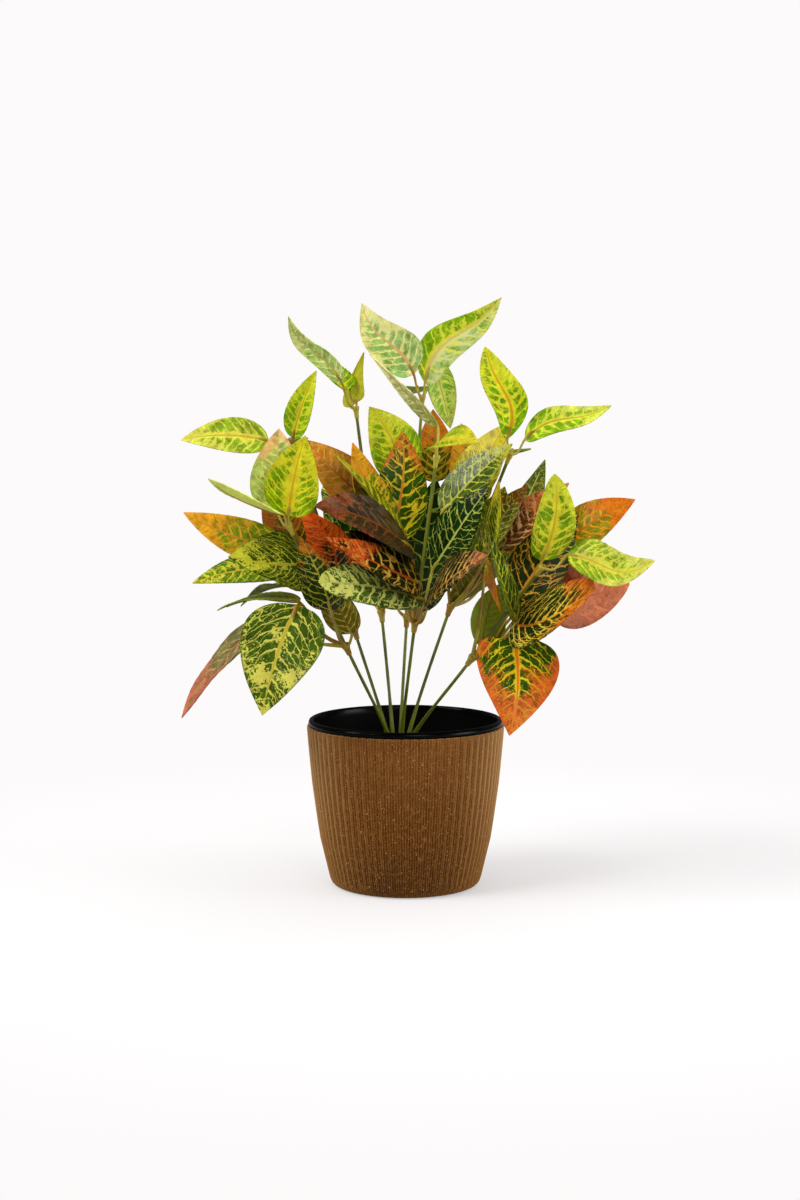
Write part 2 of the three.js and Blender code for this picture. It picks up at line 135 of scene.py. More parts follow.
class Shader:
    """The nodes of a new material or world, with short ways to add and join them."""

    def __init__(self, name, kind="materials", surface="Principled BSDF"):
        self.owner = getattr(bpy.data, kind).new(name)
        self.owner.use_nodes = True
        self.tree = self.owner.node_tree
        self.surface = self.tree.nodes[surface]

    def feed(self, socket, value):
        if isinstance(value, Value):
            self.tree.links.new(value.socket, socket)
        else:
            socket.default_value = value

    def node(self, kind, *values, out=0, **settings):
        """Adds a node, feeds its first inputs and gives one of its outputs."""
        node = self.tree.nodes.new("ShaderNode" + kind)
        for key, value in settings.items():
            setattr(node, key, value)
        for socket, value in zip(node.inputs, values):
            self.feed(socket, value)
        return Value(self, node.outputs[out])

    def calc(self, operation, *values):
        return self.node("Math", *values, operation=operation)

    def step(self, value, low, high, least=0.0, most=1.0):
        """Rises smoothly from least at low to most at high."""
        return self.node("MapRange", value, low, high, least, most, interpolation_type="SMOOTHSTEP")

    def mix(self, share, first, second, how="MIX"):
        mixed = self.node("Mix", share, out=2, data_type="RGBA", blend_type=how)
        self.feed(mixed.socket.node.inputs[6], first)
        self.feed(mixed.socket.node.inputs[7], second)
        return mixed

    def stain(self, base, share, code):
        """The base with a share of a screen colour laid over it."""
        return self.mix(share, base, paint(code))

    def noise(self, vector, scale, detail=3.0, rough=0.5):
        return self.node("TexNoise", vector, 0.0, scale, detail, rough)

    def vector(self, x, y, z=0.0):
        return self.node("CombineXYZ", x, y, z)

    def split(self, value, kind="SeparateXYZ"):
        return [Value(self, socket) for socket in self.node(kind, value).socket.node.outputs]

    def place(self):
        return self.node("TexCoord", out="Object")

    def bump(self, height, distance, strength):
        bumped = self.node("Bump", strength, distance)
        self.feed(bumped.socket.node.inputs["Height"], height)
        self.feed(self.surface.inputs["Normal"], bumped)

    def finish(self, **settings):
        for name, value in settings.items():
            self.feed(self.surface.inputs[name.replace("_", " ")], value)
        return self.owner


def pot_material():
    shader = Shader("ribbed_composite")
    place = shader.place()
    x, y, z = shader.split(place)
    turn = shader.calc("ARCTAN2", y, x)
    rib = shader.calc("COSINE", turn * POT_RIBS)
    ridges = shader.calc("COSINE", turn * (POT_RIBS * 3))
    streak = shader.noise(shader.vector(x, y, z * 0.05), 1100.0, 4.0, 0.6)
    cloud = shader.noise(place, 30.0, 3.0, 0.55)
    grit = shader.noise(place, 900.0, 3.0, 0.7)
    glint = shader.noise(shader.vector(x, y, z * 0.6), 1900.0, 2.0, 0.6)

    # Painted shade makes the wall darkest at the foot and lighter towards the rim; then it is
    # clouded, and a painted sheen makes it paler where the wall turns away
    base = shader.mix(shader.step(z, 0.0, 0.06), paint("3a1a00"), paint("5a2e00"))
    base = shader.stain(base, shader.step(z, 0.05, 0.114), "744418")
    base = shader.stain(base, shader.step(cloud, 0.35, 0.7) * 0.4, "5a2c00")
    # Painted sheen: the wall is painted paler where it turns away from the eye, less so near the
    # foot
    sides_painted_light = shader.step(shader.node("LayerWeight", 0.35, out="Facing"), 0.08, 0.8)
    pale = shader.mix(shader.step(z, 0.0, 0.1), paint("b07c3c"), paint("d4a66c"))
    base = shader.mix(sides_painted_light * 0.8, base, pale)

    # Painted shade in the grooves, deeper where the wall turns away, then the mould's ridges and
    # streaks, grit and glints, and two sizes of fleck
    groove_shade = (1.0 - shader.step(rib, -0.95, -0.1)) * (sides_painted_light * 0.55 + 0.26)
    base = shader.stain(base, groove_shade, "3a1c02")
    for mask, low, high, share, code in (
        (ridges, 0.0, 1.0, 0.2, "c08c54"),
        (streak, 0.52, 0.72, 0.3, "c58c4c"),
        (grit, 0.54, 0.66, 0.45, "452203"),
        (glint, 0.58, 0.68, 0.42, "d8a050"),
    ):
        base = shader.stain(base, shader.step(mask, low, high) * share, code)
    for scale, low, high, code in ((520.0, 0.56, 0.64, "d8aa68"), (980.0, 0.5, 0.6, "c89a54")):
        spot = 1.0 - shader.step(shader.node("TexVoronoi", place, 0.0, scale), 0.1, 0.26)
        rare = shader.step(shader.noise(place, scale * 0.6, 2.0), low, high)
        base = shader.stain(base, spot * rare, code)
    shader.bump(ridges * 0.35 + streak * 0.6 + grit * 0.7, 0.00024, 0.8)
    return shader.finish(Base_Color=base, Roughness=0.66, Specular_IOR_Level=0.06)


bm = turned(POT_OUTSIDE, POT_RIBS * POT_RIB_SIDES)
for vert in bm.verts:
    height = vert.co.z / MM
    begun = min(1, max(0, (height - POT_RIB_FOOT) / POT_FOOT_FADE))
    left = min(1, max(0, (POT_RIB_HEAD - height) / POT_HEAD_FADE))
    wave = 0.5 - 0.5 * math.cos(POT_RIBS * math.atan2(vert.co.y, vert.co.x))
    depth = POT_RIB_DEPTH * MM * begun * left * wave ** POT_RIB_ROUND
    shrink = 1 - depth / math.hypot(vert.co.x, vert.co.y)
    vert.co.x *= shrink
    vert.co.y *= shrink
rim = [edge for edge in bm.edges if edge.is_boundary and edge.verts[0].co.z > POT_RIB_FOOT * MM]
for radius, height in POT_INSIDE:
    turned_in = bmesh.ops.extrude_edge_only(bm, edges=rim)["geom"]
    rim = [part for part in turned_in if isinstance(part, bmesh.types.BMEdge) and part.is_boundary]
    for vert in {vert for edge in rim for vert in edge.verts}:
        grow = radius * MM / math.hypot(vert.co.x, vert.co.y)
        vert.co = (vert.co.x * grow, vert.co.y * grow, height * MM)
bmesh.ops.holes_fill(bm, edges=[edge for edge in bm.edges if edge.is_boundary])
bmesh.ops.recalc_face_normals(bm, faces=bm.faces)
cover_pot = piece("cover_pot_ribbed", bm, pot_material())
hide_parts("cover_pot")

# ---------------------------------------------------------------------------------------------
# Liner pot: a thin moulded pot of black plastic, hung in the cover pot by its rolled lip, which
# lies on the rim. The wall is dull and faintly scuffed, and the lip shines.
# ---------------------------------------------------------------------------------------------
LINER_SIDES = 128
LINER_LIP = (0.112, 0.116)
LINER_OUTLINE = [
    (0.0, 4.3), (44.0, 4.3), (46.0, 4.6), (56.6, 34.0), (62.4, 72.0), (65.6, 107.0), (66.0, 111.0),
    (66.0, 113.2), (66.3, 114.2), (67.2, 114.35), (68.2, 114.5), (68.62, 115.2), (68.7, 116.0),
    (68.5, 117.1), (68.0, 117.95), (67.2, 118.45), (66.4, 118.55), (65.7, 118.3), (65.2, 117.7),
    (64.9, 116.6), (64.5, 113.4), (64.1, 107.0), (60.8, 72.0), (55.0, 34.0), (44.6, 6.6),
    (43.0, 6.3), (0.0, 6.3),
]


def liner_material():
    shader = Shader("black_liner")
    place = shader.place()
    x, y, z = shader.split(place)
    scuff = shader.noise(shader.vector(x, y, z * 6.0), 140.0, 5.0, 0.65)
    shader.bump(shader.noise(place, 1400.0, 2.0), 0.00005, 0.5)
    return shader.finish(
        Base_Color=shader.mix(shader.step(scuff, 0.45, 0.8), paint("020202"), paint("060605")),
        Roughness=0.62 - shader.step(z, *LINER_LIP) * 0.44 + scuff * 0.12,
        Specular_IOR_Level=0.1,
    )


liner_pot = piece("liner_pot_black", turned(LINER_OUTLINE, LINER_SIDES), liner_material())
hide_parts("liner_pot")

# ---------------------------------------------------------------------------------------------
# Filler: the dark plug poured into the liner round the stalk. It is rough on top and lies low
# in the pot, where only a look from above finds it.
# ---------------------------------------------------------------------------------------------
FILLER_EDGE, FILLER_TOP = 58.4, 72.0
FILLER_OUTLINE = [
    (0.0, 40.0), (54.0, 40.0), (55.6, 44.0), (60.2, 70.0), (59.6, 71.6), (FILLER_EDGE, FILLER_TOP),
]
FILLER_MIDDLE = (0.0, 71.8)
FILLER_SIDES = 96
FILLER_RINGS = 26
FILLER_RIPPLE, FILLER_RIPPLE_RATE = 0.5, 2.1


def filler_material():
    shader = Shader("dark_filler")
    place = shader.place()
    lump = shader.noise(place, 160.0, 6.0, 0.7)
    base = shader.mix(shader.step(lump, 0.35, 0.7), paint("0f0d0a"), paint("2b241b"))
    shader.bump(lump, 0.0012, 0.9)
    return shader.finish(Base_Color=base, Roughness=0.95)


rings = []
for ring in range(1, FILLER_RINGS):
    height = FILLER_TOP - FILLER_RIPPLE * abs(math.sin(ring * FILLER_RIPPLE_RATE))
    rings.append((FILLER_EDGE * (1 - ring / FILLER_RINGS), height))
bm = turned([*FILLER_OUTLINE, *rings, FILLER_MIDDLE], FILLER_SIDES)
filler = piece("filler_plug", bm, filler_material())
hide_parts("filler")

# ---------------------------------------------------------------------------------------------
# Stalk: the moulded plastic plug that the seven stems stand in, cast into the filler a little
# left of the pot's middle. It has the colour of the stems' skin.
# ---------------------------------------------------------------------------------------------
STALK_X = -5.0
STALK_TOP = 92.0
STALK_SIDES = 48
STALK_OUTLINE = [
    (0.0, 52.3), (7.4, 52.3), (7.8, 53.0), (8.3, 90.2), (8.1, 91.3), (7.4, 91.9),
    (6.2, STALK_TOP), (0.0, STALK_TOP),
]


def stem_material():
    shader = Shader("stem_skin")
    place = shader.place()
    x, y, z = shader.split(place)
    along = shader.noise(shader.vector(x, y, z * 0.05), 420.0, 3.0, 0.6)
    patch = shader.noise(place, 30.0, 2.0)
    base = shader.mix(shader.step(patch, 0.35, 0.65), paint("525c0a"), paint("7a8218"))
    base = shader.stain(base, shader.step(along, 0.5, 0.8) * 0.6, "8f8c2c")
    shader.bump(along, 0.0003, 0.6)
    return shader.finish(Base_Color=base, Roughness=0.42)


stem_skin = stem_material()
bm = turned(STALK_OUTLINE, STALK_SIDES)
bmesh.ops.translate(bm, verts=bm.verts, vec=(STALK_X * MM, 0, 0))
stalk = piece("stalk_plug", bm, stem_skin)
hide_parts("stalk")

# ---------------------------------------------------------------------------------------------
# Stems: seven steel wires in an olive plastic skin. Each stands in the stalk, runs through its
# lower whorl's socket and ends in its upper one. The skin is drawn thicker where it enters
# the pot.
# ---------------------------------------------------------------------------------------------
STEM_SINK = 12.0
STEM_COLLAR = 3.0
STEM_RING = 5.4
STEM_RADIUS = 1.12
STEM_SWELL = 0.6
STEM_SLIM_AT, STEM_TAPER = 130.0, 30.0
STEM_STEPS = 48
STEM_SIDES = 14
STEM_UNEVEN, STEM_UNEVEN_RATE = 0.05, 1.9
SEATS = {  # the middles of each stem's lower and upper socket
    1: ((-40, -46, 173), (-76, -92, 258)),
    2: ((-36, 34, 175), (-79, 14, 312)),
    3: ((-17, 30, 188), (-35, 26, 334)),
    4: ((1, 52, 182), (12, 46, 342)),
    5: ((6, -48, 189), (20, -74, 302)),
    6: ((31, 4, 195), (71, -22, 303)),
    7: ((44, -52, 166), (88, -96, 231)),
}


def smooth_path(points, steps):
    """Points along the centripetal curve through the given ones, evenly shared by parameter."""
    points = [Vector(point) for point in points]
    ends = [2 * points[0] - points[1], *points, 2 * points[-1] - points[-2]]
    spots = []
    for step in range(steps + 1):
        spot = (len(points) - 1) * step / steps
        span = min(int(spot), len(points) - 2)
        share = spot - span
        p0, p1, p2, p3 = ends[span:span + 4]
        t01, t12, t23 = (
            max((after - before).length, 1e-4) ** 0.5
            for before, after in ((p0, p1), (p1, p2), (p2, p3))
        )
        m1 = ((p1 - p0) / t01 - (p2 - p0) / (t01 + t12) + (p2 - p1) / t12) * t12
        m2 = ((p2 - p1) / t12 - (p3 - p1) / (t12 + t23) + (p3 - p2) / t23) * t12
        cubic = 2 * share ** 3 - 3 * share ** 2
        spots.append(
            (cubic + 1) * p1 + (share ** 3 - 2 * share ** 2 + share) * m1
            - cubic * p2 + (share ** 3 - share ** 2) * m2
        )
    return spots


def add_tube(bm, path, radii, sides, material=0):
    """A round bar in bm along a path, extruded ring by ring, with its ends closed."""
    heading = (path[1] - path[0]).normalized()
    turn = heading.to_track_quat("Z", "Y").to_matrix()
    before = set(bm.faces)
    place = Matrix.Translation(path[0] * MM) @ turn.to_4x4()
    ring = bmesh.ops.create_circle(bm, segments=sides, radius=radii[0] * MM, matrix=place)["verts"]
    edges = list({edge for vert in ring for edge in vert.link_edges})
    start = edges
    for step in range(1, len(path)):
        ahead = path[min(step + 1, len(path) - 1)] - path[step - 1]
        turn = heading.rotation_difference(ahead.normalized()).to_matrix()
        heading = ahead.normalized()
        grow = radii[step] / radii[step - 1]
        move = (
            Matrix.Translation(path[step] * MM) @ turn.to_4x4() @ Matrix.Scale(grow, 4)
            @ Matrix.Translation(-path[step - 1] * MM)
        )
        made = bmesh.ops.extrude_edge_only(bm, edges=edges)["geom"]
        verts = [part for part in made if isinstance(part, bmesh.types.BMVert)]
        edges = [
            part for part in made
            if isinstance(part, bmesh.types.BMEdge) and all(vert in verts for vert in part.verts)
        ]
        bmesh.ops.transform(bm, matrix=move, verts=verts)
    bmesh.ops.holes_fill(bm, edges=start + edges, sides=sides)
    faces = [face for face in bm.faces if face not in before]
    for face in faces:
        face.material_index = material
    bmesh.ops.recalc_face_normals(bm, faces=faces)


def bearing(stem):
    """Which way a stem leans out of the stalk, as an angle about it."""
    (x, y, _), _ = SEATS[stem]
    return math.atan2(y, x - STALK_X)


STEM_PATHS = {}
for place, stem in enumerate(sorted(SEATS, key=bearing)):
    angle = bearing(min(SEATS, key=bearing)) + 2 * math.pi * place / len(SEATS)
    ring_x = STALK_X + STEM_RING * math.cos(angle)
    ring_y = STEM_RING * math.sin(angle)
    foot = Vector((ring_x, ring_y, STALK_TOP - STEM_SINK))
    collar = Vector((ring_x, ring_y, STALK_TOP + STEM_COLLAR))
    STEM_PATHS[stem] = [foot, collar, *map(Vector, SEATS[stem])]

for stem, path in STEM_PATHS.items():
    spots = smooth_path(path, STEM_STEPS)
    radii = []
    for step, spot in enumerate(spots):
        swell = STEM_SWELL * max(0.0, min(1.0, (STEM_SLIM_AT - spot.z) / STEM_TAPER))
        uneven = STEM_UNEVEN * math.sin(step * STEM_UNEVEN_RATE + stem)
        radii.append(STEM_RADIUS * (1 + swell) + uneven)
    bm = bmesh.new()
    add_tube(bm, spots, radii, STEM_SIDES)
    wire = piece(f"wire_stem_{stem}", bm, stem_skin)
    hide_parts(f"stem_{stem}")

# ---------------------------------------------------------------------------------------------
# Whorls: a moulded socket on the stem with looped petioles, and a printed glossy blade pressed
# on the end of each. Lower whorls carry the large dark, yellow-veined and orange leaves,
# upper ones the small light green leaves. A whorl is one piece.
# ---------------------------------------------------------------------------------------------
SOCKET_RADIUS = {"lower": 3.1, "upper": 2.5}
SOCKET_HEIGHT = 9.0
SOCKET_SIDES = 18
SOCKET_OUTLINE = [  # in shares of the radius and the height
    (0.4, -0.5), (0.5, -0.5), (0.58, -0.46), (0.62, -0.36), (0.66, -0.16), (0.74, 0.04),
    (0.88, 0.2), (1.0, 0.32), (1.02, 0.4), (0.95, 0.47), (0.75, 0.5), (0.4, 0.5),
]
PETIOLE_RADIUS = {"lower": 1.4, "upper": 1.1}
PETIOLE_ROOT = 0.3  # of the socket's height above its middle
PETIOLE_LOW = 0.45  # of the way out
PETIOLE_SAG = 0.26
PETIOLE_SAG_MOST = 6.0
PETIOLE_MEETS = 0.1  # of the blade's length
PETIOLE_STEPS = 18
PETIOLE_FULL = 16  # the step where it meets the blade at its full thickness again
PETIOLE_SIDES = 10
PETIOLE_END, PETIOLE_WAIST = 1.15, 0.45  # in radii: the end, and how much thinner the middle is
SPINE_FROM, SPINE_LENGTH = 0.14, 0.74  # the petiole runs on as a spine under the midrib
SPINE_UNDER = 0.75
SPINE_ROOT, SPINE_THINS = 0.62, 0.42  # in petiole radii
SPINE_STEPS = 14
BLADE_THICK = 0.7
BLADE_ROWS = 32
BLADE_COLUMNS = 14
BLADE_ROOT_HALF = 0.9
BLADE_TIP_HALF = 0.15
BLADE_TWIST_FROM = 0.35
RIB_GROOVE, RIB_GROOVE_WIDE = 0.25, 1.3
EDGE_RIPPLE, EDGE_RIPPLE_SHIFT = 9.4, 1.7
VEIN_ROWS = 9.5
VEIN_SLANT = 0.45
VEIN_BEND = 1.3
VEIN_SHIFT = 0.45  # from the left half's veins to the right half's, in rows
VEIN_QUILT, VEIN_QUILT_FROM = 0.16, 3.0
SEED_STEP = 0.618034  # from one leaf's print to the next one's
UNDERSIDE_LEAST = (0.065, 0.07, 0.012, 1)

# What is printed on a blade: the ground between the veins, the veins, the midrib and the warm
# colour that floods in; then how far that reaches from the tip and from the edge, how wide the
# veins and the midrib are, how much is speckled and blotched, how much of the net of small
# veins shows, how glossy the blade is, how wide the light band along the midrib is, and how
# strongly a painted gloss reflection pales one half of the blade (under 0 the left half).
PRINTS = {
    "mottled": dict(ground="36520a", vein="c4c44a", rib="b3a030", blush="bcbc50", tip=0.0, edge=0.1,
                    veins=0.2, rib_wide=1.0, speckle=0.8, net=0.75, gloss=0.2),
    "deep": dict(ground="183206", vein="98a840", rib="9a9234", blush="7a7a20", tip=0.0, edge=0.0,
                 veins=0.16, rib_wide=0.8, speckle=0.15, net=0.8, gloss=0.5),
    "flame": dict(ground="30480a", vein="c8a424", rib="d0641a", blush="d0601a", tip=0.5, edge=0.35,
                  veins=0.26, rib_wide=1.1, speckle=0.45, net=0.6, gloss=0.3),
    "ember": dict(ground="6a5203", vein="c4901c", rib="b4580c", blush="bc6406", tip=0.75, edge=0.25,
                  veins=0.34, rib_wide=1.0, speckle=0.45, net=0.55, gloss=0.3),
    "rose": dict(ground="1c1602", vein="7c4a1b", rib="84380f", blush="6a2a08", tip=0.6, edge=0.2,
                 veins=0.16, rib_wide=0.8, speckle=0.25, net=0.7, gloss=0.8),
    "salmon": dict(ground="7a6a40", vein="b08a5c", rib="b06a3a", blush="b4886a", tip=0.7, edge=0.3,
                   veins=0.22, rib_wide=0.9, speckle=0.5, net=0.6, gloss=0.4),
    "yellow": dict(ground="4e4c03", vein="b3a51a", rib="b98a1a", blush="b8960e", tip=0.25, edge=0.2,
                   veins=0.4, rib_wide=1.0, speckle=0.7, net=0.6, gloss=0.3),
    "lime": dict(ground="6e9c04", vein="d0d028", rib="c4a41c", blush="ccd030", tip=0.3, edge=0.45,
                 veins=0.4, rib_wide=0.9, speckle=0.3, net=0.5, gloss=0.2, halo=0.3),
    # The pale print's light, greyish ground is partly painted reflection: the gloss of these leaves
    # is painted into it
    "pale": dict(ground="9fad5c", vein="d6d48c", rib="d2bc70", blush="dcda94", tip=0.35, edge=0.4,
                 veins=0.36, rib_wide=1.3, speckle=0.2, net=0.5, gloss=0.7),
    "steel": dict(ground="46551a", vein="b0b23a", rib="a8a644", blush="b0b24a", tip=0.15, edge=0.1,
                  veins=0.22, rib_wide=0.8, speckle=0.7, net=0.6, gloss=0.7),
    "olive": dict(ground="4c4606", vein="8a7c1a", rib="8a7c20", blush="8a6a16", tip=0.1, edge=0.0,
                  veins=0.2, rib_wide=1.0, speckle=0.0, net=0.3, gloss=0.2),
}


def leaf(start, end, wide, face, print_name, arch=4, fold=8, sway=0, ess=0, twist=0, wave=0,
         ends=(0.5, 0.95), **changes):
    """One blade: its midrib's two ends, its width and which way it faces, then its bends (arch,
    sway, ess and wave in millimetres, fold and twist in degrees), how its outline swells from the
    root and narrows to the tip, and what its print changes."""
    return dict(
        start=Vector(start), end=Vector(end), wide=wide, face=Vector(face), arch=arch, fold=fold,
        sway=sway, ess=ess, twist=twist, wave=wave, ends=ends,
        look={"halo": 0.06, "haze": 0.0, **PRINTS[print_name], **changes},
    )


